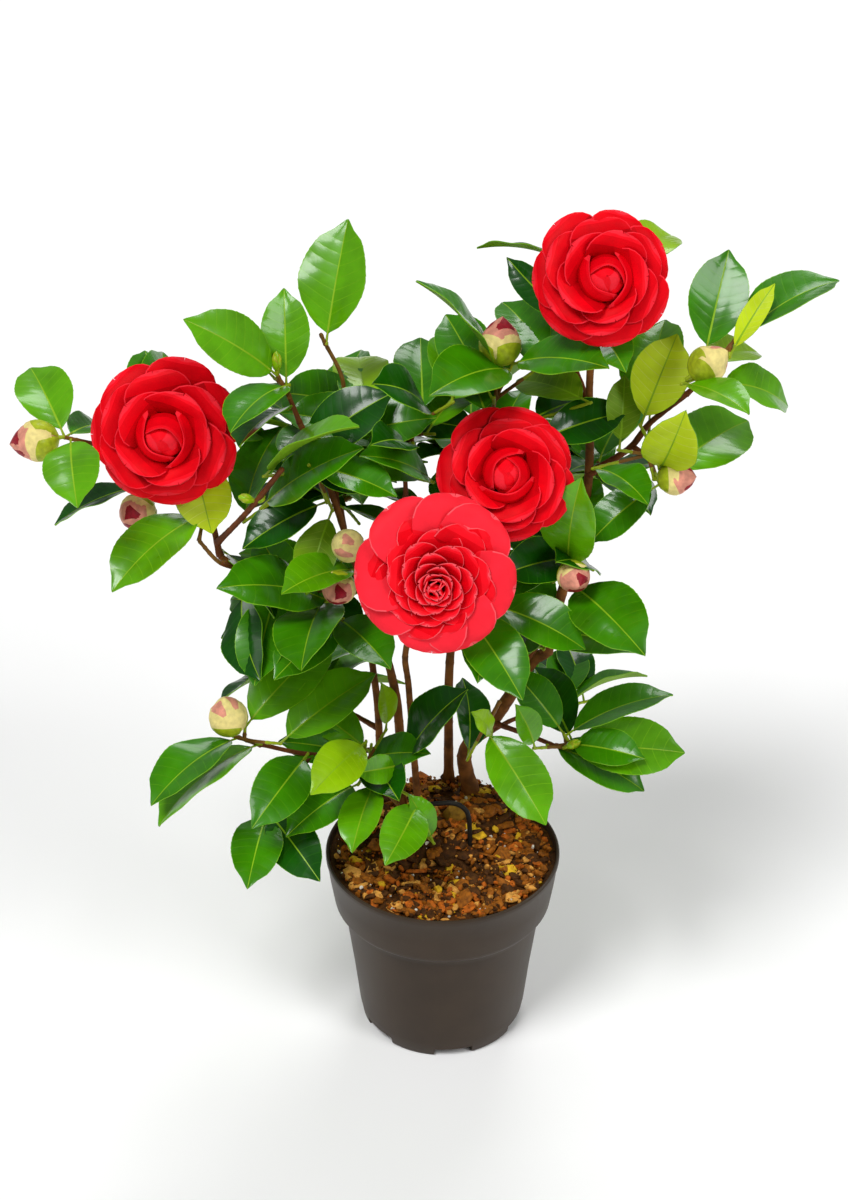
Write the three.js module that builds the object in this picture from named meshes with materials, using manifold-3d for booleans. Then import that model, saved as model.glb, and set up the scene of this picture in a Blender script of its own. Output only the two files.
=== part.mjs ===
// A flowering camellia about 63 cm tall in its round 17 cm nursery pot.
// Millimetres, +Z up, the front of the plant toward -Y, the origin under the middle of the pot.
import * as THREE from 'three';
import { mergeVertices } from 'three/addons/utils/BufferGeometryUtils.js';
import Module from 'manifold-3d';

const wasm = await Module();
wasm.setup();

// ---- driving dimensions -------------------------------------------------------------------
const GAP = 0.35; // air between two neighbouring solids
const FINE = 0.1; // edges shorter than this are taken out of a fused solid

const POT = {
  height: 148, rim: 85, collarBase: 79, collarFoot: 103, shoulder: 70.5, shoulderFoot: 84,
  body: 62, foot: 60, footTop: 13, wall: 2, floor: 2.5, sides: 36,
};
const NOTCH = { count: 6, width: 28, height: 7, depth: 10, first: -82 };
const GROUND = { rim: 145, rise: 18, x: -8, y: 40, flat: 44, slope: 24, edge: 16 };

const FLARE = 1.35; // how much wider a main stem is where it is cut at the soil
const STEM = { base: 1.7, tip: 1.3 };
const TWIG = { base: 1.5, tip: 1.3 };
const LEAF = { spread: 0.58, stalk: 7, stalkRadius: 0.8, thick: 1.1, sunk: 0.5, neck: 4.5, step: 5 };
const LEAF_RINGS = [0.26, 0.62];
const PETAL = { spread: 0.94, thick: 1.4, root: 0.1, end: 1 };
const PETAL_RINGS = [0.42, 0.86];

// how near two leaves may come, at the sample points down each blade
const CLEAR = { limb: 1.2, twig: 0.9, otherTwig: 1.5, bud: 1.5, setOwn: 2.2, setOther: 3, own: 4, other: 5 };
const TRIES = [0, 9, -9, 18, -18, 27, -27]; // degrees a leaf may turn to find room
const FRONT = [0, -0.5, 0.87]; // where the leaves of most masses turn their upper faces
const BACK = [0, 0.35, 0.87];

const COLOUR = {
  pot: '#4a433e', soil: '#5b3524', bark: '#6b4630', leaf: '#2f7d1a', petal: '#d5001d',
};

// ---- limbs: what each grows from, its way points, and its radius at base and tip -------------
// A main stem has no height at its first point: it is cut flat at the soil.
const LIMBS = [
  { name: 'stem_left', path: [[-31, 32], [-32, 28, 246], [-40, 20, 302], [-46, 15, 325]], radii: [3.8, 2.8] },
  { name: 'stem_twin', path: [[-46, 44], [-47, 46, 235], [-52, 46, 310], [-42, 38, 380], [-26, 26, 426]],
    radii: [3.0, 1.9] },
  { name: 'stem_centre', path: [[-18, 26], [-24, 8, 278], [-26, -10, 326], [-12, -48, 392]], radii: [2.6, 2.0] },
  { name: 'stem_right', path: [[21, 50], [17, 48, 201], [39, 35, 241], [61, 22, 293], [72, 18, 306]],
    radii: [5.6, 4.2] },
  { name: 'stem_back', path: [[5, 64], [5, 58, 270], [12, 46, 340], [18, 34, 425]], radii: [3.6, 2.4] },
  { name: 'bough_upper_left', from: 'stem_left',
    path: [[-46, 15, 325], [-67, 0, 414], [-79, -5, 459], [-94, -10, 500]], radii: [2.6, 1.9] },
  { name: 'bough_left', from: 'stem_left',
    path: [[-39, 20, 300], [-86, 10, 332], [-150, -10, 400]], radii: [2.6, 2.2] },
  { name: 'bough_far_left', from: 'bough_left',
    path: [[-150, -10, 400], [-160, 8, 432], [-184, 22, 462], [-226, 4, 476]], radii: [2.0, 1.5] },
  { name: 'pruned_twig', from: 'bough_far_left',
    path: [[-152, -6, 408], [-128, -28, 445], [-104, -42, 483]], radii: [2.0, 1.8] },
  { name: 'bough_right', from: 'stem_right',
    path: [[72, 18, 306], [85, 20, 370], [96, 14, 440], [94, 10, 520], [96, 6, 574]], radii: [3.8, 2.2] },
  { name: 'bough_far_right', from: 'bough_right',
    path: [[96, 13, 450], [121, 5, 473], [134, 0, 495], [155, -8, 519]], radii: [2.4, 1.8] },
  { name: 'bough_right_under', from: 'stem_right',
    path: [[54, 26, 278], [60, 12, 306], [70, 2, 328]], radii: [2.0, 1.6] },
  { name: 'bough_low_left', from: 'stem_left',
    path: [[-32, 29, 218], [-88, 0, 231], [-128, -18, 252]], radii: [2.0, 1.5] },
  { name: 'bough_low_right', from: 'stem_right',
    path: [[35, 37, 234], [60, 0, 248], [78, -22, 254]], radii: [2.0, 1.5] },
  { name: 'bough_low_front', from: 'stem_right',
    path: [[32, 40, 228], [30, 18, 250], [30, -8, 266]], radii: [1.9, 1.5] },
  { name: 'bough_low_inner', from: 'stem_left',
    path: [[-31, 31, 196], [-42, 18, 204], [-52, 4, 212]], radii: [1.9, 1.5] },
  { name: 'bough_back_high', from: 'bough_right',
    path: [[95, 11, 500], [84, 40, 520], [72, 58, 536]], radii: [2.1, 1.6] },
  { name: 'bough_back_left', from: 'stem_twin',
    path: [[-52, 46, 318], [-62, 60, 350], [-70, 72, 376]], radii: [2.1, 1.6] },
  { name: 'bough_back_centre', from: 'stem_back',
    path: [[12, 46, 338], [22, 74, 372], [20, 92, 398]], radii: [2.2, 1.7] },
  { name: 'bough_back_right', from: 'bough_right',
    path: [[86, 20, 372], [100, 50, 388], [104, 72, 402]], radii: [2.2, 1.7] },
  { name: 'bough_low_back_left', from: 'stem_twin',
    path: [[-47, 46, 222], [-70, 62, 226], [-88, 64, 232]], radii: [1.9, 1.5] },
  { name: 'bough_low_back_right', from: 'stem_right',
    path: [[18, 48, 204], [52, 66, 216], [78, 66, 222]], radii: [1.9, 1.5] },
];

// ---- blooms: centre, radius and facing, a stalk from its limb, and whorls of petals ----------
// A whorl is [petals, reach as a share of the radius, lift above the flat, arch].
const CUPPED = [[7, 1.02, 6, 14], [5, 0.84, 28, -14], [4, 0.64, 52, -36]];
const ROSETTE = [[8, 1.02, 2, 18], [7, 0.84, 18, 4], [5, 0.6, 40, -16]];
const BLOOMS = [
  { name: 'bloom_front', from: 'stem_centre', centre: [-6, -87, 431], radius: 51.5, facing: [-90, 22],
    stalk: [[-10, -56, 408]], whorls: ROSETTE, cone: 0.14 },
  { name: 'bloom_left', from: 'bough_far_left', at: 0.5, centre: [-180, -20, 497], radius: 48, facing: [-90, 18],
    stalk: [[-179, 14, 476]], whorls: CUPPED, cone: 0.27 },
  { name: 'bloom_top', from: 'bough_right', centre: [97, -20, 605], radius: 43, facing: [-88, 25],
    stalk: [[96, 4, 588]], whorls: CUPPED, cone: 0.27 },
  { name: 'bloom_middle', from: 'stem_back', centre: [39.5, -40, 478], radius: 44, facing: [-90, 30],
    stalk: [[28, 8, 446]], whorls: CUPPED, cone: 0.24 },
];

// ---- masses of leaves -------------------------------------------------------------------------
// Each has a stem from the tip of its bough and shoots along that stem. A shoot ends at `tip`, where
// its fan of leaves [count, first heading, turn, first rise, lift, length] stands one above the other,
// and a flower bud [heading, rise, length] may sit. Sprigs are grown by the seed inside `space`.
const MASSES = [
  { name: 'foliage_far_left', seed: 11, from: 'bough_far_left', stem: [[-247, -15, 492]],
    shoots: [
      { fan: [2, 116, -186, 14, -24, 70], bud: [-176, -7, 33] },
      { fan: [2, 70, -122, -21, 28, 54] },
    ] },
  { name: 'foliage_left', seed: 12, from: 'bough_far_left', at: 0.56, stem: [[-184, 34, 462], [-188, 30, 478]],
    shoots: [
      { tip: [-196, 18, 474], fan: [2, 98, -8, 27, -10, 80], roll: 35 },
      { at: 0.5, tip: [-178, 14, 446], fan: [1, -146, 0, -10, 0, 78], bud: [-128, 20, 28] },
      { tip: [-172, 26, 464], fan: [2, 69, -40, 8, -20, 62] },
    ] },
  { name: 'foliage_left_low', seed: 34, from: 'bough_left', at: 0.9, stem: [[-150, -24, 404], [-162, -24, 420]],
    shoots: [
      { fan: [1, -136, 0, -13, 0, 88] },
      { at: 0.5, tip: [-146, -34, 398], fan: [1, -104, 0, -34, 0, 60] },
    ] },
  { name: 'foliage_upper_left', seed: 13, from: 'bough_upper_left', stem: [[-100, -12, 519], [-107, -14, 536]],
    space: [[-165, -60, 440], [-60, 50, 560]], sprigs: 3,
    shoots: [
      { fan: [2, -163, 60, 38, 42, 68], bud: [95, 80, 20] },
      { at: 0.8, tip: [-110, -4, 529], fan: [3, 132, -40, 7, 4, 60] },
      { at: 0.6, tip: [-97, -18, 527], fan: [2, -127, 122, 12, -18, 66] },
      { at: 0.35, tip: [-96, -4, 505], fan: [2, -118, -22, 10, -10, 66] },
    ] },
  { name: 'foliage_inner_left', seed: 14, from: 'bough_upper_left', at: 0.72, stem: [[-84, -16, 468]],
    space: [[-130, -70, 390], [-20, 70, 520]], sprigs: 5,
    shoots: [
      { tip: [-112, -26, 462], fan: [2, -26, -12, 36, -9, 80] },
      { tip: [-78, -16, 498], fan: [2, -128, 205, -6, 6, 70] },
      { tip: [-92, -20, 450], fan: [3, -60, -60, -15, 0, 62] },
      { tip: [-70, 12, 484], fan: [3, 90, -45, 6, 4, 64] },
    ] },
  { name: 'foliage_tall', seed: 15, from: 'bough_upper_left', at: 0.86, stem: [[-66, 12, 512], [-80, 11, 553]],
    shoots: [
      { at: 0.9, tip: [-74, 9, 549], fan: [1, -5, 0, 72, 0, 80], facing: [0, -1, 0.3] },
    ] },
  { name: 'foliage_centre_top', seed: 16, from: 'stem_twin', stem: [[-26, 12, 466], [-20, 6, 490]],
    space: [[-80, -60, 410], [30, 80, 505]], sprigs: 6,
    shoots: [
      { at: 0.7, tip: [-32, -5, 478], fan: [2, 115, 60, 9, 0, 84] },
      { at: 0.8, tip: [-52, 14, 498], fan: [2, 97, 55, 3, -8, 68] },
      { tip: [-10, 2, 502], fan: [2, -131, -139, 36, -18, 66] },
      { tip: [6, 0, 510], fan: [2, 93, -50, 12, 0, 64] },
      { at: 0.3, tip: [-26, -10, 458], fan: [2, -125, -45, 0, -8, 66] },
    ] },
  { name: 'foliage_centre_right', seed: 17, from: 'stem_back', at: 0.9,
    stem: [[30, 34, 436], [30, 24, 478], [33, 14, 505]],
    space: [[0, -40, 430], [110, 70, 560]], sprigs: 5,
    shoots: [
      { tip: [34, 0, 532], fan: [1, -168, 0, 50, 0, 78], roll: 40, bud: [79, 66, 33] },
      { tip: [60, 14, 536], fan: [2, 111, -28, 7, 0, 66] },
      { at: 0.8, tip: [27, -6, 502], fan: [1, 103, 0, 2, 0, 66] },
      { tip: [44, 4, 536], fan: [2, -37, -60, 12, -6, 76] },
      { at: 0.6, tip: [80, 6, 506], fan: [2, 60, -100, -6, 0, 66] },
    ] },
  { name: 'foliage_top_right', seed: 18, from: 'bough_right', at: 0.9, stem: [[86, 14, 560], [84, 14, 572]],
    shoots: [
      { tip: [70, 8, 594], fan: [2, 152, -14, -10, -18, 58], roll: 55 },
      { tip: [112, 8, 600], fan: [2, 60, 25, 0, -14, 66] },
      { at: 0.6, tip: [78, 10, 562], fan: [2, 165, -230, -20, 8, 50] },
    ] },
  { name: 'foliage_far_right', seed: 19, from: 'bough_far_right', stem: [[165, -10, 532], [188, -2, 560]],
    shoots: [
      { fan: [1, 44, 0, 9, 0, 88] },
      { at: 0.7, tip: [174, -5, 554], fan: [1, 84, 0, 18, 0, 78] },
      { at: 0.6, tip: [172, -12, 556], fan: [1, -34, 0, 51, 0, 68] },
      { at: 0.35, tip: [162, -12, 534], fan: [2, 54, -105, -12, 12, 60], bud: [-29, 75, 32] },
      { at: 0.4, tip: [172, -10, 526], fan: [2, -56, 125, 1, -6, 62] },
    ] },
  { name: 'foliage_right_mid', seed: 20, from: 'bough_far_right', at: 0.4, stem: [[136, -8, 474], [146, -9, 478]],
    space: [[85, -50, 420], [175, 60, 545]], sprigs: 4,
    shoots: [
      { tip: [152, -10, 474], fan: [2, 54, -87, 2, 62, 76], bud: [-35, 5, 28] },
      { at: 0.7, tip: [139, -12, 500], fan: [1, -19, 0, 72, 0, 70] },
      { at: 0.5, tip: [113, -15, 480], fan: [2, -69, 20, 74, -70, 56] },
      { tip: [146, -2, 462], fan: [1, -119, 0, -4, 0, 64] },
    ] },
  { name: 'foliage_right_low', seed: 21, from: 'bough_right', at: 0.29, stem: [[86, -2, 390]],
    space: [[30, -60, 310], [140, 70, 440]], sprigs: 6,
    shoots: [
      { tip: [80, -20, 402], fan: [2, 120, -65, 19, -23, 74], bud: [-79, -1, 26] },
      { tip: [94, -18, 381], fan: [2, -60, -176, -6, 20, 82] },
      { at: 0.4, tip: [74, 2, 372], fan: [2, 100, 70, 0, -10, 70] },
    ] },
  { name: 'foliage_right_under', seed: 32, from: 'bough_right_under', stem: [[74, -4, 338]],
    space: [[10, -50, 290], [120, 40, 372]], sprigs: 4,
    shoots: [
      { fan: [2, 113, -156, 3, 8, 76] },
      { tip: [66, -8, 344], fan: [2, 160, 60, 10, -10, 62] },
    ] },
  { name: 'foliage_low_right', seed: 22, from: 'bough_low_right', stem: [[90, -24, 254]],
    space: [[40, -60, 200], [160, 60, 310]], sprigs: 5,
    shoots: [
      { fan: [2, -4, -16, 30, -27, 78] },
      { at: 0.6, tip: [98, -10, 248], fan: [2, 48, -20, 0, 4, 62] },
      { at: 0.4, tip: [76, -34, 250], fan: [3, -38, -107, 5, 24, 66] },
      { at: 0.35, tip: [78, -12, 266], fan: [2, 95, -70, 25, -10, 60] },
    ] },
  { name: 'foliage_low_front', seed: 23, from: 'bough_low_front',
    stem: [[33, -32, 286], [38, -38, 302]],
    shoots: [
      { fan: [1, -66, 0, -33, 0, 84] },
      { at: 0.5, tip: [26, -34, 294], fan: [1, -128, 0, 34, 0, 46] },
      { at: 0.35, tip: [12, -14, 272], fan: [2, -110, 60, -10, 10, 58] },
    ] },
  { name: 'foliage_low_left', seed: 24, from: 'bough_low_left', stem: [[-146, -27, 266]],
    shoots: [
      { fan: [2, -140, -4, -23, -8, 78], bud: [-149, 80, 33] },
      { at: 0.6, tip: [-138, -20, 270], fan: [1, 44, 0, 24, 0, 84] },
      { at: 0.45, tip: [-112, -34, 264], fan: [1, 30, 0, 20, 0, 80] },
    ] },
  { name: 'foliage_low_left_drop', seed: 33, from: 'bough_low_left', at: 0.6, stem: [[-104, -16, 228], [-124, -26, 206]],
    shoots: [
      { fan: [2, -119, 64, -37, 28, 66] },
      { at: 0.35, tip: [-108, -18, 240], fan: [2, -132, 172, -14, 34, 78] },
    ] },
  { name: 'foliage_low_inner', seed: 25, from: 'bough_low_inner', stem: [[-58, -6, 222]],
    space: [[-110, -60, 170], [-10, 40, 290]], sprigs: 4,
    shoots: [
      { tip: [-62, 0, 242], fan: [3, -124, 81, -21, 10, 60] },
      { at: 0.5, tip: [-64, -6, 216], fan: [2, -139, 45, -31, -11, 60] },
      { at: 0.4, tip: [-42, -8, 232], fan: [2, 50, -140, 17, -10, 60] },
    ] },
  { name: 'foliage_centre_left', seed: 26, from: 'bough_left', at: 0.38, stem: [[-94, 0, 360]],
    space: [[-150, -60, 290], [-20, 60, 430]], sprigs: 5,
    shoots: [
      { tip: [-93, -4, 376], fan: [2, -133, -11, 9, 14, 72] },
      { at: 0.8, tip: [-112, 4, 358], fan: [2, -130, 95, 0, -6, 64] },
      { tip: [-64, -16, 384], fan: [2, -60, 70, 10, 10, 56], bud: [-80, 40, 24] },
      { at: 0.8, tip: [-114, -6, 374], fan: [1, -102, 0, -40, 0, 66] },
      { at: 0.4, tip: [-68, -12, 352], fan: [2, -130, 70, -10, 6, 66], bud: [-100, 20, 24] },
    ] },
  { name: 'foliage_centre_low', seed: 35, from: 'stem_centre', at: 0.88, stem: [[0, -44, 376], [14, -50, 382]],
    shoots: [
      { fan: [1, -56, 0, -25, 0, 70] },
      { at: 0.8, tip: [34, -36, 380], fan: [2, -100, 75, -22, 8, 64] },
    ] },
  { name: 'foliage_back_high', seed: 36, from: 'bough_back_high', facing: BACK, stem: [[66, 66, 552]],
    shoots: [
      { fan: [4, 90, 80, 16, -4, 66] },
      { at: 0.4, tip: [90, 66, 534], fan: [2, 40, 70, 0, 8, 62] },
    ] },
  { name: 'foliage_back_upper', seed: 37, from: 'bough_upper_left', at: 0.6, facing: BACK,
    stem: [[-74, 26, 456], [-70, 48, 474]],
    shoots: [
      { fan: [4, 80, 80, 16, -4, 66] },
      { at: 0.6, tip: [-96, 50, 462], fan: [2, 130, 60, 0, 8, 62] },
    ] },
  { name: 'foliage_back_left', seed: 27, from: 'bough_back_left', facing: BACK,
    stem: [[-72, 76, 398], [-70, 84, 424]], space: [[-135, 35, 330], [-15, 135, 458]], sprigs: 9,
    shoots: [
      { fan: [4, 90, 95, 20, -6, 68] },
      { at: 0.5, tip: [-92, 80, 398], fan: [3, 150, 80, 5, 8, 66] },
    ] },
  { name: 'foliage_back_centre', seed: 28, from: 'bough_back_centre', facing: BACK,
    stem: [[16, 100, 424], [20, 98, 446]], space: [[-35, 40, 350], [75, 160, 470]], sprigs: 9,
    shoots: [
      { fan: [4, 90, 85, 20, -4, 68] },
      { at: 0.4, tip: [40, 110, 412], fan: [3, 60, 80, 0, 8, 66] },
    ] },
  { name: 'foliage_back_right', seed: 29, from: 'bough_back_right', facing: BACK,
    stem: [[108, 80, 424]], space: [[55, 30, 340], [150, 140, 462]], sprigs: 8,
    shoots: [
      { fan: [4, 60, 80, 14, -4, 66] },
      { at: 0.3, tip: [120, 92, 404], fan: [2, 40, 80, -10, 8, 62] },
    ] },
  { name: 'foliage_low_back_left', seed: 30, from: 'bough_low_back_left', facing: BACK,
    stem: [[-104, 62, 240]], space: [[-160, 20, 175], [-45, 130, 270]], sprigs: 5,
    shoots: [
      { fan: [3, 150, -70, 10, -4, 62] },
      { at: 0.3, tip: [-92, 82, 236], fan: [2, 110, -70, -8, 8, 60] },
    ] },
  { name: 'foliage_low_back_right', seed: 31, from: 'bough_low_back_right', facing: BACK,
    stem: [[94, 68, 230]], space: [[40, 20, 175], [160, 135, 262]], sprigs: 5,
    shoots: [
      { fan: [3, 20, 60, 10, -4, 62] },
      { at: 0.3, tip: [84, 84, 228], fan: [2, 80, 50, -8, 8, 60] },
    ] },
];

// ---- small helpers ------------------------------------------------------------------------------
const rad = THREE.MathUtils.degToRad;
const vec = (p) => new THREE.Vector3(...p);
const mix = THREE.MathUtils.lerp;
const ease = (x) => THREE.MathUtils.smoothstep(x, 0, 1);

function seeded(seed) {
  let state = seed;
  return (low = 0, high = 1) => {
    state = (state * 1664525 + 1013904223) % 4294967296;
    return low + ((high - low) * state) / 4294967296;
  };
}

// A unit vector from a heading round +Z (0 is +X, 90 is the back) and a rise above the level.
function direction(heading, rise) {
  const h = rad(heading);
  const r = rad(rise);
  return new THREE.Vector3(Math.cos(r) * Math.cos(h), Math.cos(r) * Math.sin(h), Math.sin(r));
}

// Moves every vertex of a geometry to place(vertex).
function reshape(geometry, place) {
  const at = geometry.getAttribute('position');
  const v = new THREE.Vector3();
  for (let i = 0; i < at.count; i += 1) {
    v.fromBufferAttribute(at, i);
    const p = place(v);
    at.setXYZ(i, p.x, p.y, p.z);
  }
  return geometry;
}

function solidOf(geometry) {
  const bare = geometry.clone();
  bare.deleteAttribute('normal');
  bare.deleteAttribute('uv');
  const merged = mergeVertices(bare, 1e-4);
  const solid = new wasm.Manifold(
    new wasm.Mesh({
      numProp: 3,
      vertProperties: new Float32Array(merged.getAttribute('position').array),
      triVerts: new Uint32Array(merged.index.array),
    }),
  );
  return solid.volume() < 0 ? solidOf(flipped(merged)) : solid;
}

function flipped(geometry) {
  const index = geometry.index.array;
  for (let i = 0; i < index.length; i += 3) {
    [index[i + 1], index[i + 2]] = [index[i + 2], index[i + 1]];
  }
  return geometry;
}

// The one outer body of a solid: sealed hollows are filled and loose scraps dropped.
function wholeBody(solid) {
  const bodies = solid.decompose().filter((part) => part.volume() > 0);
  bodies.sort((a, b) => b.volume() - a.volume());
  return bodies[0].simplify(FINE);
}

function geometryOf(solid) {
  const mesh = solid.getMesh();
  const geometry = new THREE.BufferGeometry();
  geometry.setAttribute('position', new THREE.BufferAttribute(new Float32Array(mesh.vertProperties), 3));
  geometry.setIndex(new THREE.BufferAttribute(new Uint32Array(mesh.triVerts), 1));
  const flat = geometry.toNonIndexed();
  flat.computeVertexNormals();
  return flat;
}

const plant = new THREE.Group();

function addNode(name, solid, colour, roughness) {
  const material = new THREE.MeshStandardMaterial({ color: colour, roughness, metalness: 0 });
  const mesh = new THREE.Mesh(geometryOf(solid), material);
  mesh.name = name;
  plant.add(mesh);
}

// ---- pot and soil ---------------------------------------------------------------------------------
function lathe(outline, sides) {
  const closed = outline.map(([r, z]) => new THREE.Vector2(r, z));
  const geometry = new THREE.LatheGeometry(closed, sides);
  return reshape(geometry, (v) => new THREE.Vector3(v.x, -v.z, v.y));
}

// Radius of the pot's outer wall at a height.
const WALL_STEPS = [
  [0, POT.foot], [POT.footTop, POT.body], [POT.shoulderFoot, POT.shoulder],
  [POT.collarFoot, POT.collarBase], [POT.height, POT.rim],
];

function wallRadius(z) {
  const i = Math.max(1, WALL_STEPS.findIndex(([height]) => height >= z));
  const [z0, r0] = WALL_STEPS[i - 1];
  const [z1, r1] = WALL_STEPS[i];
  return mix(r0, r1, (z - z0) / (z1 - z0));
}

function potSolid() {
  const outer = WALL_STEPS.map(([z, r]) => [r, z]);
  const inner = WALL_STEPS.slice(1).map(([z, r]) => [r - POT.wall, z]).reverse();
  const cup = solidOf(lathe([
    [0, 0], ...outer, ...inner, [wallRadius(POT.floor) - POT.wall, POT.floor], [0, POT.floor],
  ], POT.sides));
  let pot = cup;
  for (let i = 0; i < NOTCH.count; i += 1) {
    const block = new THREE.BoxGeometry(NOTCH.depth * 2, NOTCH.width, NOTCH.height * 2);
    block.translate(POT.foot, 0, 0);
    block.rotateZ(rad(NOTCH.first + (360 / NOTCH.count) * i));
    pot = pot.subtract(solidOf(block));
  }
  return pot;
}

// Height of the bark mulch: level by the pot's wall, mounded round the stems.
function groundHeight(x, y) {
  const fromTop = Math.hypot(x - GROUND.x, y - GROUND.y);
  const fromWall = wallRadius(GROUND.rim) - POT.wall - Math.hypot(x, y);
  const mound = ease((GROUND.flat + GROUND.slope - fromTop) / GROUND.slope);
  return GROUND.rim + GROUND.rise * mound * ease(fromWall / GROUND.edge);
}

function soilSolid() {
  const above = NOTCH.height + 2;
  const side = [above + 6, POT.footTop + 6, POT.shoulderFoot, POT.collarFoot, GROUND.rim]
    .map((z) => [wallRadius(z) - POT.wall - GAP, z]);
  const middle = POT.foot - NOTCH.depth - 4;
  const top = [0.9, 0.74, 0.56, 0.38, 0.2].map((share) => [side.at(-1)[0] * share, GROUND.rim]);
  const geometry = lathe([
    [0, POT.floor + GAP], [middle, POT.floor + GAP], [middle + 4, above], ...side, ...top, [0, GROUND.rim],
  ], POT.sides / 2);
  return solidOf(reshape(geometry, (v) => {
    const onTop = v.z > GROUND.rim - 1 && Math.hypot(v.x, v.y) < side.at(-1)[0] - 1;
    return onTop ? new THREE.Vector3(v.x, v.y, groundHeight(v.x, v.y)) : v;
  }));
}

// ---- limbs ----------------------------------------------------------------------------------------
// A tapering tube with flat ends along a smooth curve through the way points.
function limbSolid(path, radii, sides, grow = 0) {
  const curve = new THREE.CatmullRomCurve3(path, false, 'catmullrom', 0.5);
  const steps = path.length < 3 ? 1 : Math.max(path.length - 1, Math.round(curve.getLength() / 24));
  const frames = curve.computeFrenetFrames(steps, false);
  const tube = new THREE.CylinderGeometry(1, 1, 1, sides, steps);
  return solidOf(reshape(tube, (v) => {
    const t = 0.5 + v.y;
    const i = Math.round(t * steps);
    const r = mix(radii[0], radii[1], t) + grow;
    const centre = curve.getPointAt(t);
    if (grow > 0 && (i === 0 || i === steps)) {
      centre.addScaledVector(frames.tangents[i], i === 0 ? -grow : grow);
    }
    return centre
      .addScaledVector(frames.normals[i], v.x * r)
      .addScaledVector(frames.binormals[i], -v.z * r);
  }));
}

// The point at a share of a path's length, and the way it runs there.
function onPath(path, share) {
  const runs = path.slice(1).map((p, i) => p.distanceTo(path[i]));
  let left = share * runs.reduce((a, b) => a + b, 0);
  for (let i = 0; i < runs.length; i += 1) {
    if (left <= runs[i] + 1e-6) {
      return path[i].clone().lerp(path[i + 1], left / runs[i]);
    }
    left -= runs[i];
  }
  return path.at(-1).clone();
}

const limbs = new Map();

function growLimb({ name, from, path, radii }) {
  const points = path.map(([x, y, z]) => new THREE.Vector3(x, y, z ?? groundHeight(x, y) + GAP));
  const sides = from === undefined ? 6 : 5;
  const cut = points[0].z;
  if (from === undefined) {
    points[0].z = cut - 6;
  }
  let solid = limbSolid(points, radii, sides);
  if (from === undefined) {
    const foot = new THREE.CylinderGeometry(radii[0], radii[0] * FLARE, 16, sides).rotateX(Math.PI / 2);
    foot.translate(points[0].x, points[0].y, cut + 5);
    solid = solid.add(solidOf(foot)).trimByPlane([0, 0, 1], cut);
  } else {
    solid = solid.subtract(limbs.get(from).wide);
  }
  const wide = limbSolid(points, radii, sides, GAP);
  limbs.set(name, { path: points, radii, solid: wholeBody(solid), wide });
}

// ---- leaves -----------------------------------------------------------------------------------------
// A leaf springs from `node`, runs along `along` and turns its upper face to `up`.
function leafFrame({ node, heading, rise, length, arch, roll, fold, facing }) {
  const along = direction(heading, rise);
  const up = facing.clone().addScaledVector(along, -facing.dot(along)).normalize();
  const side = new THREE.Vector3().crossVectors(along, up);
  up.multiplyScalar(Math.cos(rad(roll))).addScaledVector(side, Math.sin(rad(roll)));
  side.crossVectors(along, up);
  return { node, along, up, side, length, arch: rad(arch), fold: rad(fold), stalk: LEAF.stalk };
}

// Half the width of a leaf and of a petal at a share of the length, for a length of one.
function leafWidth(s) {
  return 0.5 * LEAF.spread * Math.sin(Math.PI * s ** 0.85) ** (0.65 + 0.55 * s);
}

function petalWidth(s) {
  return 0.5 * PETAL.spread * Math.sin(Math.PI * s ** 1.5) ** 0.4;
}

// The way a blade starts out from its stalk.
function bladeStart({ along, up, arch }) {
  return along.clone().multiplyScalar(Math.cos(arch / 2)).addScaledVector(up, Math.sin(arch / 2));
}

// A point on a blade that rises and then droops through `arch`, its halves folded up from the midrib.
function bladePoint(blade, s, across, lift, width) {
  const { arch, length } = blade;
  const turn = arch * (0.5 - s);
  const run = ((Math.sin(arch / 2) - Math.sin(turn)) / arch) * length;
  const high = ((Math.cos(turn) - Math.cos(arch / 2)) / arch) * length;
  const out = across * width;
  const normal = blade.up.clone().multiplyScalar(Math.cos(turn)).addScaledVector(blade.along, -Math.sin(turn));
  return blade.node.clone()
    .addScaledVector(bladeStart(blade), blade.stalk)
    .addScaledVector(blade.along, run)
    .addScaledVector(blade.up, high)
    .addScaledVector(blade.side, out * Math.cos(blade.fold))
    .addScaledVector(normal, Math.abs(out) * Math.sin(blade.fold) + lift);
}

// Which ring of a four-sided ball a vertex is on, and whether it lies left, right, above or below.
function ringOf(v, rings) {
  const out = Math.max(Math.hypot(v.x, v.z), 1e-6);
  return {
    ring: Math.round((Math.acos(THREE.MathUtils.clamp(v.y, -1, 1)) / Math.PI) * rings),
    across: Math.round(v.x / out),
    above: Math.round(v.z / out),
  };
}

// The part of a blade that must not cross another one of its own mass.
function bladeOnly(leaf) {
  const rings = 3;
  const ball = new THREE.SphereGeometry(1, 4, rings);
  return solidOf(reshape(ball, (v) => {
    const { ring, across, above } = ringOf(v, rings);
    const s = mix(0.08, 1, ring / rings);
    const inside = ring > 0 && ring < rings;
    return bladePoint(leaf, s, inside ? across : 0, above * LEAF.thick, inside ? leafWidth(s) * leaf.length : 0);
  }));
}

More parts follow.
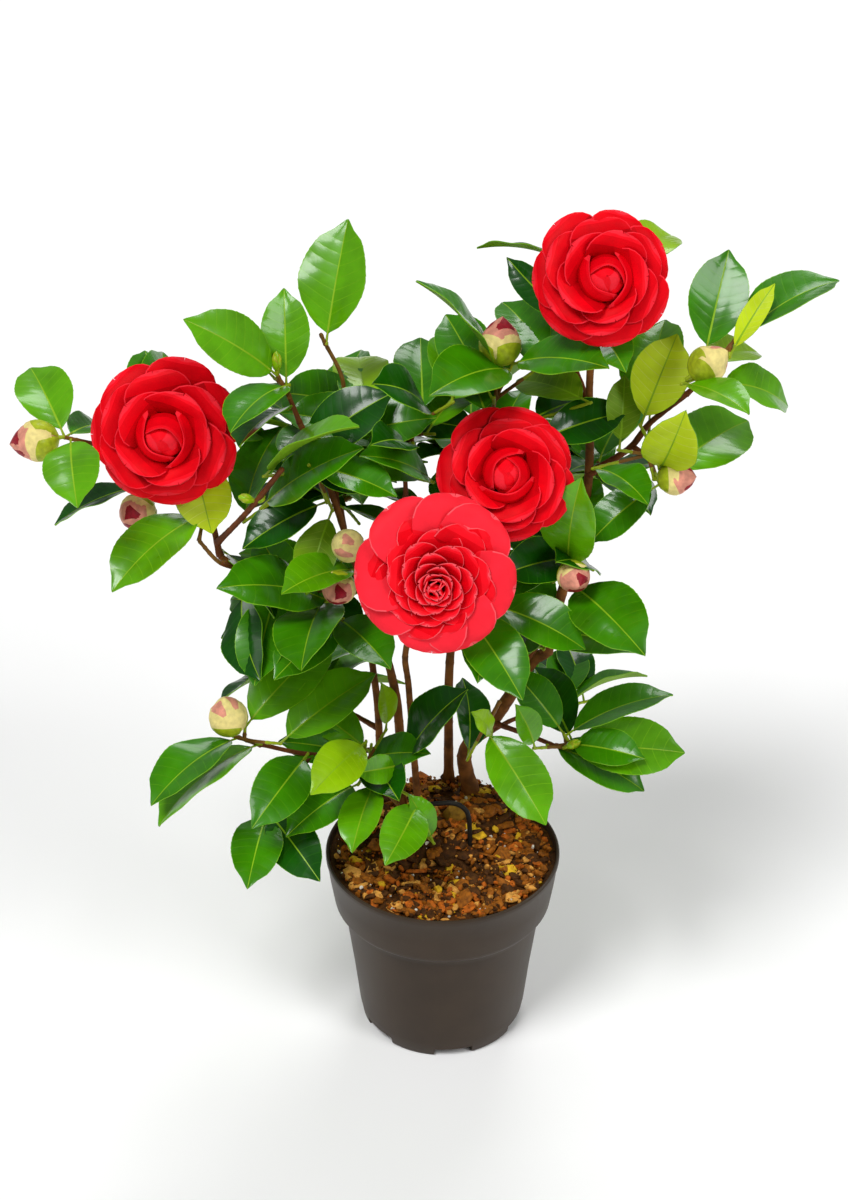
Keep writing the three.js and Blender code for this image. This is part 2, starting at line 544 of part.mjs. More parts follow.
// One closed blade of four-sided rings: stalk, widening body and a point.
function leafSolid(leaf, grow = 0) {
  const start = bladeStart(leaf);
  const rings = LEAF_RINGS.length + 2;
  const ball = new THREE.SphereGeometry(1, 4, rings);
  return solidOf(reshape(ball, (v) => {
    const { ring, across, above } = ringOf(v, rings);
    if (ring === 0) {
      return leaf.node.clone().addScaledVector(start, -LEAF.sunk - grow);
    }
    if (ring === 1) {
      return leaf.node.clone().addScaledVector(start, LEAF.neck)
        .addScaledVector(leaf.side, across * (LEAF.stalkRadius + grow))
        .addScaledVector(leaf.up, above * (LEAF.stalkRadius + grow));
    }
    if (ring === rings) {
      return bladePoint(leaf, 1 + grow / leaf.length, 0, 0, 0);
    }
    const s = LEAF_RINGS[ring - 2];
    return bladePoint(leaf, s, across, above * (LEAF.thick / 2 + grow), leafWidth(s) * leaf.length + grow);
  }));
}

function petalSolid(petal) {
  const rings = PETAL_RINGS.length + 1;
  const ball = new THREE.SphereGeometry(1, 4, rings);
  return solidOf(reshape(ball, (v) => {
    const { ring, across, above } = ringOf(v, rings);
    if (ring === 0 || ring === rings) {
      return bladePoint(petal, ring === 0 ? 0 : PETAL.end, 0, 0, 0);
    }
    const s = PETAL_RINGS[ring - 1];
    const width = Math.max(petalWidth(s) * petal.length, 2);
    return bladePoint(petal, s, across, (above * PETAL.thick) / 2, width);
  }));
}

// An egg along `axis` from its lower end.
function eggSolid(foot, axis, length, radius, sides, rings) {
  const side = new THREE.Vector3(axis.y, -axis.x, 0.01).cross(axis).normalize();
  const other = new THREE.Vector3().crossVectors(axis, side);
  const ball = new THREE.SphereGeometry(1, sides, rings);
  return solidOf(reshape(ball, (v) => foot.clone()
    .addScaledVector(axis, ((1 - v.y) / 2) * length)
    .addScaledVector(side, v.x * radius * (1 + 0.18 * v.y))
    .addScaledVector(other, v.z * radius * (1 + 0.18 * v.y))));
}

// ---- blooms -----------------------------------------------------------------------------------------
function bloomAxes({ facing }) {
  const axis = direction(...facing);
  const side = new THREE.Vector3().crossVectors(axis, new THREE.Vector3(0, 0, 1)).normalize();
  return { axis, side, other: new THREE.Vector3().crossVectors(side, axis) };
}

function bloomSolid(bloom, root) {
  const { axis, side, other } = bloomAxes(bloom);
  const centre = vec(bloom.centre);
  const R = bloom.radius;
  const heart = centre.clone().addScaledVector(axis, -0.3 * R);
  const rng = seeded(Math.round(R * 10));
  const stalk = [root, ...bloom.stalk.map(vec), heart];
  const parts = [
    limbSolid(stalk, [1.6, 2.2], 5),
    eggSolid(heart.clone().addScaledVector(axis, -0.1 * R), axis, 0.3 * R, 0.17 * R, 8, 5),
    eggSolid(heart, axis, (0.42 + bloom.cone) * R, (bloom.cone + 0.02) * R, 8, 6),
  ];
  bloom.whorls.forEach(([count, reach, lift, arch], w) => {
    for (let i = 0; i < count; i += 1) {
      const turn = ((i + 0.5 * (w % 2)) / count) * 2 * Math.PI + rng(-0.08, 0.08);
      const out = side.clone().multiplyScalar(Math.cos(turn)).addScaledVector(other, Math.sin(turn));
      const rise = rad(lift + rng(-2, 2));
      const along = out.clone().multiplyScalar(Math.cos(rise)).addScaledVector(axis, Math.sin(rise));
      const up = axis.clone().multiplyScalar(Math.cos(rise)).addScaledVector(out, -Math.sin(rise));
      parts.push(petalSolid({
        node: heart.clone().addScaledVector(axis, (0.05 * w + 0.04 * (i % 2)) * R).addScaledVector(out, PETAL.root * R),
        along, up, side: new THREE.Vector3().crossVectors(along, up),
        length: (reach * R) / Math.max(Math.cos(rise), 0.72) - PETAL.root * R,
        arch: rad(arch), fold: rad(10), stalk: 0,
      }));
    }
  });
  return wasm.Manifold.union(parts);
}

// Whether a point lies in the flat egg that a bloom fills.
function inBloom(bloom, p) {
  const { axis } = bloomAxes(bloom);
  const v = p.clone().sub(vec(bloom.centre));
  const along = v.dot(axis);
  const out = Math.sqrt(Math.max(0, v.lengthSq() - along * along));
  const depth = (along > 0 ? 0.5 : 0.42) * bloom.radius;
  return (out / (bloom.radius + 2)) ** 2 + (along / (depth + 2)) ** 2 < 1;
}

// ---- growing the masses -----------------------------------------------------------------------------
const SAMPLES = [
  [0.12, 0], [0.3, 0], [0.5, 0], [0.7, 0], [0.88, 0], [1, 0], [0.25, 0.9], [0.25, -0.9],
  [0.45, 0.95], [0.45, -0.95], [0.65, 0.9], [0.65, -0.9], [0.83, 0.8], [0.83, -0.8],
];
const grown = { points: [], twigs: [], buds: [], pieces: [], blades: [] };

function samplesOf(leaf) {
  return SAMPLES.map(([s, across]) => bladePoint(leaf, s, across, 0, s < 1 ? leafWidth(s) * leaf.length : 0));
}

function toSegment(p, a, b) {
  return new THREE.Line3(a, b).closestPointToPoint(p, true, new THREE.Vector3()).distanceTo(p);
}

// What a sample point of a leaf comes too near to, if anything.
function blocker(p, s, mass, shoot, own, other) {
  const overPot = Math.hypot(p.x, p.y) < 88 && p.z < 150;
  const overMound = p.z < groundHeight(p.x, p.y) + 3 && Math.hypot(p.x, p.y) < POT.rim;
  if (overPot || overMound) {
    return 'pot';
  }
  const clearOfTwigs = s < 0.2;
  const nearLimb = ([, { path, radii }]) => path.some((b, k) => k > 0
    && toSegment(p, path[k - 1], b) < radii[0] + CLEAR.limb);
  const nearTwig = (twig) => toSegment(p, twig.a, twig.b)
    < TWIG.base + (twig.mass === mass ? CLEAR.twig : CLEAR.otherTwig);
  const nearBud = (bud) => (s >= 0.2 || bud.mass !== mass)
    && p.distanceTo(bud.centre) < bud.radius + CLEAR.bud;
  const nearLeaf = (q) => {
    const far = p.distanceTo(q.at);
    if (q.mass !== mass) {
      return far < other;
    }
    const atRoot = s < 0.2 || q.s < 0.2 || (q.shoot === shoot && (s < 0.4 || q.s < 0.4));
    return !atRoot && far < own;
  };
  return BLOOMS.find((bloom) => inBloom(bloom, p))?.name
    ?? (clearOfTwigs ? undefined : [...limbs].find(nearLimb)?.[0])
    ?? (clearOfTwigs ? undefined : grown.twigs.find(nearTwig)?.mass)
    ?? grown.buds.find(nearBud)?.mass
    ?? grown.points.find(nearLeaf)?.mass;
}

// The first piece of another node that a solid, grown by the gap, touches.
function touched(wide, mass) {
  const box = wide.boundingBox();
  return grown.pieces.find((piece) => {
    const apart = [0, 1, 2].some((k) => box.min[k] > piece.box.max[k] || box.max[k] < piece.box.min[k]);
    return piece.mass !== mass && !apart && !wide.intersect(piece.solid).isEmpty();
  })?.mass;
}

// Whether a blade crosses another blade of its own mass away from their roots.
function crossesOwn(blade, mass) {
  return grown.blades.some((other) => other.mass === mass && !blade.intersect(other.blade).isEmpty());
}

function keepPiece(mass, solid) {
  grown.pieces.push({ mass, solid, box: solid.boundingBox() });
}

// Tries a leaf at its set heading and then turned a little, and keeps the first that is clear.
function growLeaf(spec, mass, shoot, own, other) {
  const near = (leaf) => samplesOf(leaf)
    .map((p, i) => blocker(p, SAMPLES[i][0], mass, shoot, own, other))
    .find(Boolean) ?? touched(leafSolid(leaf, GAP), mass) ?? (crossesOwn(bladeOnly(leaf), mass) || undefined);
  const leaf = TRIES
    .map((turn) => leafFrame({ ...spec, heading: spec.heading + turn, rise: spec.rise + turn / 3 }))
    .find((candidate) => !near(candidate));
  if (!leaf) {
    return false;
  }
  samplesOf(leaf).forEach((at, i) => grown.points.push({ at, mass, shoot, s: SAMPLES[i][0] }));
  grown.blades.push({ mass, blade: bladeOnly(leaf) });
  keepPiece(mass, leafSolid(leaf));
  return true;
}

// The stem of a mass: from the tip of its bough, or from the side of it at a share of its length.
function stemPath({ from, at, stem }) {
  const points = stem.map(vec);
  const limb = limbs.get(from);
  const start = at === undefined ? limb.path.at(-1).clone() : onPath(limb.path, at);
  return [start, ...points];
}

function growStems(mass) {
  const path = stemPath(mass);
  const bough = limbs.get(mass.from).wide;
  const parts = [limbSolid(path, [STEM.base, STEM.tip], 4)];
  path.slice(1).forEach((b, i) => grown.twigs.push({ mass: mass.name, a: path[i], b }));
  for (const shoot of mass.shoots) {
    const root = onPath(path, shoot.at ?? 1);
    const tip = shoot.tip ? vec(shoot.tip) : path.at(-1).clone();
    if (tip.distanceTo(root) > 1) {
      parts.push(limbSolid([root, tip], [TWIG.base, TWIG.tip], 3));
      grown.twigs.push({ mass: mass.name, a: root, b: tip });
    }
    if (shoot.bud) {
      const [heading, rise, length] = shoot.bud;
      const axis = direction(heading, rise);
      const foot = tip.clone().addScaledVector(axis, 3);
      parts.push(limbSolid([tip, foot.clone().addScaledVector(axis, 3)], [1.4, 1.6], 3));
      parts.push(eggSolid(foot, axis, length, length * 0.36, 7, 5));
      const centre = foot.clone().addScaledVector(axis, length * 0.5);
      grown.buds.push({ mass: mass.name, centre, radius: length * 0.38 });
    }
  }
  const solid = wholeBody(wasm.Manifold.union(parts).subtract(bough));
  keepPiece(mass.name, solid);
}

function growShoots(mass) {
  const rng = seeded(mass.seed);
  const path = stemPath(mass);
  mass.shoots.forEach((shoot, number) => {
    const root = onPath(path, shoot.at ?? 1);
    const tip = shoot.tip ? vec(shoot.tip) : path.at(-1).clone();
    const bare = tip.distanceTo(root) <= 1;
    const back = (bare ? path.at(-2).clone().sub(path.at(-1)) : root.clone().sub(tip)).normalize();
    const run = Math.max(tip.distanceTo(root), 12);
    const [count, heading, turn, rise, lift, length] = shoot.fan;
    for (let k = 0; k < count; k += 1) {
      growLeaf({
        node: tip.clone().addScaledVector(back, Math.min(1.6 + LEAF.step * k, 0.8 * run)),
        heading: heading + k * turn + rng(-3, 3),
        rise: rise + k * lift + rng(-3, 3),
        length: length * rng(0.95, 1.05),
        arch: 30 + rng(0, 12),
        roll: (shoot.roll ?? 0) + rng(-8, 8),
        fold: 14 + rng(0, 8),
        facing: vec(shoot.facing ?? mass.facing ?? FRONT).normalize(),
      }, mass.name, number, CLEAR.setOwn, CLEAR.setOther);
    }
  });
}

// Sprigs: short twigs off the stem, each with two to four leaves a golden turn apart.
function growSprigs(mass) {
  const path = stemPath(mass);
  const space = new THREE.Box3(...(mass.space ?? [[0, 0, 0], [0, 0, 0]]).map(vec));
  for (let i = 0; i < (mass.sprigs ?? 0); i += 1) {
    const rng = seeded(mass.seed * 100 + i);
    const root = onPath(path, rng(0.15, 1));
    const heading = rng(0, 360);
    const tip = root.clone().addScaledVector(direction(heading, rng(-25, 50)), rng(14, 38));
    const count = Math.floor(rng(2, 5));
    const leaves = [];
    for (let k = 0; k < count; k += 1) {
      leaves.push({
        node: tip.clone().lerp(root, Math.min(0.7, (1.6 + LEAF.step * k) / tip.distanceTo(root))),
        heading: heading - 60 + 137.5 * k + rng(-10, 10),
        rise: rng(-20, 35),
        length: rng(50, 72),
        arch: 30 + rng(0, 12),
        roll: rng(-12, 12),
        fold: 14 + rng(0, 8),
        facing: vec(mass.facing ?? FRONT).normalize(),
      });
    }
    const twig = limbSolid([root, tip], [TWIG.base, TWIG.tip], 3);
    const crowded = grown.points.some((q) => q.at.distanceTo(tip) < 3);
    if (!space.containsPoint(tip) || crowded || touched(limbSolid([root, tip], [2, 2], 4), mass.name)) {
      continue;
    }
    const held = leaves.filter((leaf) => samplesOf(leafFrame(leaf)).every((p) => space.containsPoint(p))
      && growLeaf(leaf, mass.name, 100 + i, CLEAR.own, CLEAR.other));
    if (held.length > 0) {
      keepPiece(mass.name, twig);
      grown.twigs.push({ mass: mass.name, a: root, b: tip });
    }
  }
}

// ---- putting it together ------------------------------------------------------------------------------
const pot = potSolid();
const soil = soilSolid();
addNode('pot', pot, COLOUR.pot, 0.55);
addNode('root_ball', soil, COLOUR.soil, 0.95);
keepPiece('pot', pot);
keepPiece('root_ball', soil);

LIMBS.forEach(growLimb);
for (const [name, { solid }] of limbs) {
  addNode(name, solid, COLOUR.bark, 0.85);
  keepPiece(name, solid);
}
MASSES.forEach(growStems);

for (const bloom of BLOOMS) {
  const { path, wide } = limbs.get(bloom.from);
  const root = bloom.at === undefined ? path.at(-1).clone() : onPath(path, bloom.at);
  const solid = wholeBody(bloomSolid(bloom, root).subtract(wide));
  addNode(bloom.name, solid, COLOUR.petal, 0.6);
  keepPiece(bloom.name, solid);
}

MASSES.forEach(growShoots);
MASSES.forEach(growSprigs);
for (const { name } of MASSES) {
  const parts = grown.pieces.filter((piece) => piece.mass === name).map((piece) => piece.solid);
  addNode(name, wholeBody(wasm.Manifold.union(parts)), COLOUR.leaf, 0.45);
}

export default plant;
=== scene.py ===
"""A flowering camellia in its round nursery pot, dressed over the plant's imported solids.

Lengths in the tables are millimetres: +Z up, the front of the plant toward -Y, the origin under
the middle of the pot. Meshes are made in metres.
"""

import math

import bpy
import numpy as np
from bpy.props import FloatProperty, FloatVectorProperty, IntProperty, PointerProperty
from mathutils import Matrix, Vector, noise


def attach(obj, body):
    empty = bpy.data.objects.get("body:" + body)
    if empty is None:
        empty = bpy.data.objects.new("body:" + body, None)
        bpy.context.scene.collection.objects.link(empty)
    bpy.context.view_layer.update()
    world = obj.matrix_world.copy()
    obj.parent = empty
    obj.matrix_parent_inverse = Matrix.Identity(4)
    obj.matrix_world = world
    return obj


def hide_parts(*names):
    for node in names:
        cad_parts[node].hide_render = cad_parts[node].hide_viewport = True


bl_info = {
    "name": "Potted Camellia",
    "version": (1, 0, 0),
    "blender": (4, 5, 0),
    "location": "View3D > Sidebar > Camellia",
    "description": "Grows the leaves, blooms, bark, mulch and pot of a camellia over its solids",
    "category": "Object",
}

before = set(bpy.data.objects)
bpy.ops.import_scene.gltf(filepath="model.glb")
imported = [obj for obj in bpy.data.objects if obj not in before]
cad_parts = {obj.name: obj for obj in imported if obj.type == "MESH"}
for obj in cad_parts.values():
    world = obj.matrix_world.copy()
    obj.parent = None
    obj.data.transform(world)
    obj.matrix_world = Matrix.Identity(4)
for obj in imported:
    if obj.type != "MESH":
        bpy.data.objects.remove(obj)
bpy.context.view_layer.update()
MM = 0.001

# ---- the limbs ---------------------------------------------------------------------------------
# What each limb grows from, its way points, and its radius at base and tip. A main stem has no
# height at its first point, because it rises out of the mulch there.
LIMBS = [
    dict(name="stem_left", path=[[-31, 32], [-32, 28, 246], [-40, 20, 302], [-46, 15, 325]],
         radii=[3.8, 2.8]),
    dict(name="stem_twin",
         path=[[-46, 44], [-47, 46, 235], [-52, 46, 310], [-42, 38, 380], [-26, 26, 426]],
         radii=[3.0, 1.9]),
    dict(name="stem_centre", path=[[-18, 26], [-24, 8, 278], [-26, -10, 326], [-12, -48, 392]],
         radii=[2.6, 2.0]),
    dict(name="stem_right", path=[[21, 50], [17, 48, 201], [39, 35, 241], [61, 22, 293], [72, 18, 306]],
         radii=[5.6, 4.2]),
    dict(name="stem_back", path=[[5, 64], [5, 58, 270], [12, 46, 340], [18, 34, 425]],
         radii=[3.6, 2.4]),
    dict(name="bough_upper_left", grows_from="stem_left",
         path=[[-46, 15, 325], [-67, 0, 414], [-79, -5, 459], [-94, -10, 500]], radii=[2.6, 1.9]),
    dict(name="bough_left", grows_from="stem_left",
         path=[[-39, 20, 300], [-86, 10, 332], [-150, -10, 400]], radii=[2.6, 2.2]),
    dict(name="bough_far_left", grows_from="bough_left",
         path=[[-150, -10, 400], [-160, 8, 432], [-184, 22, 462], [-226, 4, 476]], radii=[2.0, 1.5]),
    dict(name="pruned_twig", grows_from="bough_far_left",
         path=[[-152, -6, 408], [-128, -28, 445], [-104, -42, 483]], radii=[2.0, 1.8]),
    dict(name="bough_right", grows_from="stem_right",
         path=[[72, 18, 306], [85, 20, 370], [96, 14, 440], [94, 10, 520], [96, 6, 574]],
         radii=[3.8, 2.2]),
    dict(name="bough_far_right", grows_from="bough_right",
         path=[[96, 13, 450], [121, 5, 473], [134, 0, 495], [155, -8, 519]], radii=[2.4, 1.8]),
    dict(name="bough_right_under", grows_from="stem_right",
         path=[[54, 26, 278], [60, 12, 306], [70, 2, 328]], radii=[2.0, 1.6]),
    dict(name="bough_low_left", grows_from="stem_left",
         path=[[-32, 29, 218], [-88, 0, 231], [-128, -18, 252]], radii=[2.0, 1.5]),
    dict(name="bough_low_right", grows_from="stem_right",
         path=[[35, 37, 234], [60, 0, 248], [78, -22, 254]], radii=[2.0, 1.5]),
    dict(name="bough_low_front", grows_from="stem_right",
         path=[[32, 40, 228], [30, 18, 250], [30, -8, 266]], radii=[1.9, 1.5]),
    dict(name="bough_low_inner", grows_from="stem_left",
         path=[[-31, 31, 196], [-42, 18, 204], [-52, 4, 212]], radii=[1.9, 1.5]),
    dict(name="bough_back_high", grows_from="bough_right",
         path=[[95, 11, 500], [84, 40, 520], [72, 58, 536]], radii=[2.1, 1.6]),
    dict(name="bough_back_left", grows_from="stem_twin",
         path=[[-52, 46, 318], [-62, 60, 350], [-70, 72, 376]], radii=[2.1, 1.6]),
    dict(name="bough_back_centre", grows_from="stem_back",
         path=[[12, 46, 338], [22, 74, 372], [20, 92, 398]], radii=[2.2, 1.7]),
    dict(name="bough_back_right", grows_from="bough_right",
         path=[[86, 20, 372], [100, 50, 388], [104, 72, 402]], radii=[2.2, 1.7]),
    dict(name="bough_low_back_left", grows_from="stem_twin",
         path=[[-47, 46, 222], [-70, 62, 226], [-88, 64, 232]], radii=[1.9, 1.5]),
    dict(name="bough_low_back_right", grows_from="stem_right",
         path=[[18, 48, 204], [52, 66, 216], [78, 66, 222]], radii=[1.9, 1.5]),
]

FRONT = (0, -0.5, 0.87)  # where most leaves turn their upper faces
BACK = (0, 0.35, 0.87)


# ---- blooms --------------------------------------------------------------------------------------
# Rows of petals from the outside in. `reach` and `height` place the petals' tips and `foot` their
# roots, as shares of the bloom's radius out from and along its axis. `arch` bends a petal back in
# degrees (inward if negative), `cup` lifts its edges, `spread` is its width by its length and `tilt`
# lays one edge of it over its neighbour.
CUPPED_ROWS = [
    dict(count=7, reach=1.1, height=-0.1, foot=-0.3, arch=66, cup=-0.03, spread=0.92, tilt=10),
    dict(count=6, reach=0.9, height=0.12, foot=-0.26, arch=52, cup=0.05, spread=1.02, tilt=10),
    dict(count=5, reach=0.68, height=0.3, foot=-0.22, arch=30, cup=0.12, spread=1.1, tilt=8),
]
HEART_FLAPS = 3  # petals that wrap over one another in the closed middle of a cupped bloom
FORMAL_PETALS = 54  # in one spiral
FORMAL_OUTER = 8  # of them, the outermost ones, all of one size
PETAL_TURN = 137.508  # degrees between two petals of the spiral, the golden turn
# A bloom fills a flat egg: its depth before and behind its centre as shares of its radius, and the
# room kept round it.
BLOOM_FRONT = 0.5
BLOOM_BACK = 0.42
BLOOM_ROOM = 2
BLOOMS = [
    dict(name="bloom_front", grows_from="stem_centre", centre=[-6, -87, 431], radius=51.5,
         facing=[-90, 22], stalk=[[-10, -56, 408]], formal=True),
    dict(name="bloom_left", grows_from="bough_far_left", at=0.5, centre=[-180, -20, 497], radius=48,
         facing=[-90, 18], stalk=[[-179, 14, 476]], formal=False),
    dict(name="bloom_top", grows_from="bough_right", centre=[97, -20, 605], radius=43,
         facing=[-88, 25], stalk=[[96, 4, 588]], formal=False),
    dict(name="bloom_middle", grows_from="stem_back", centre=[39.5, -40, 478], radius=44,
         facing=[-90, 30], stalk=[[28, 8, 446]], formal=False),
]

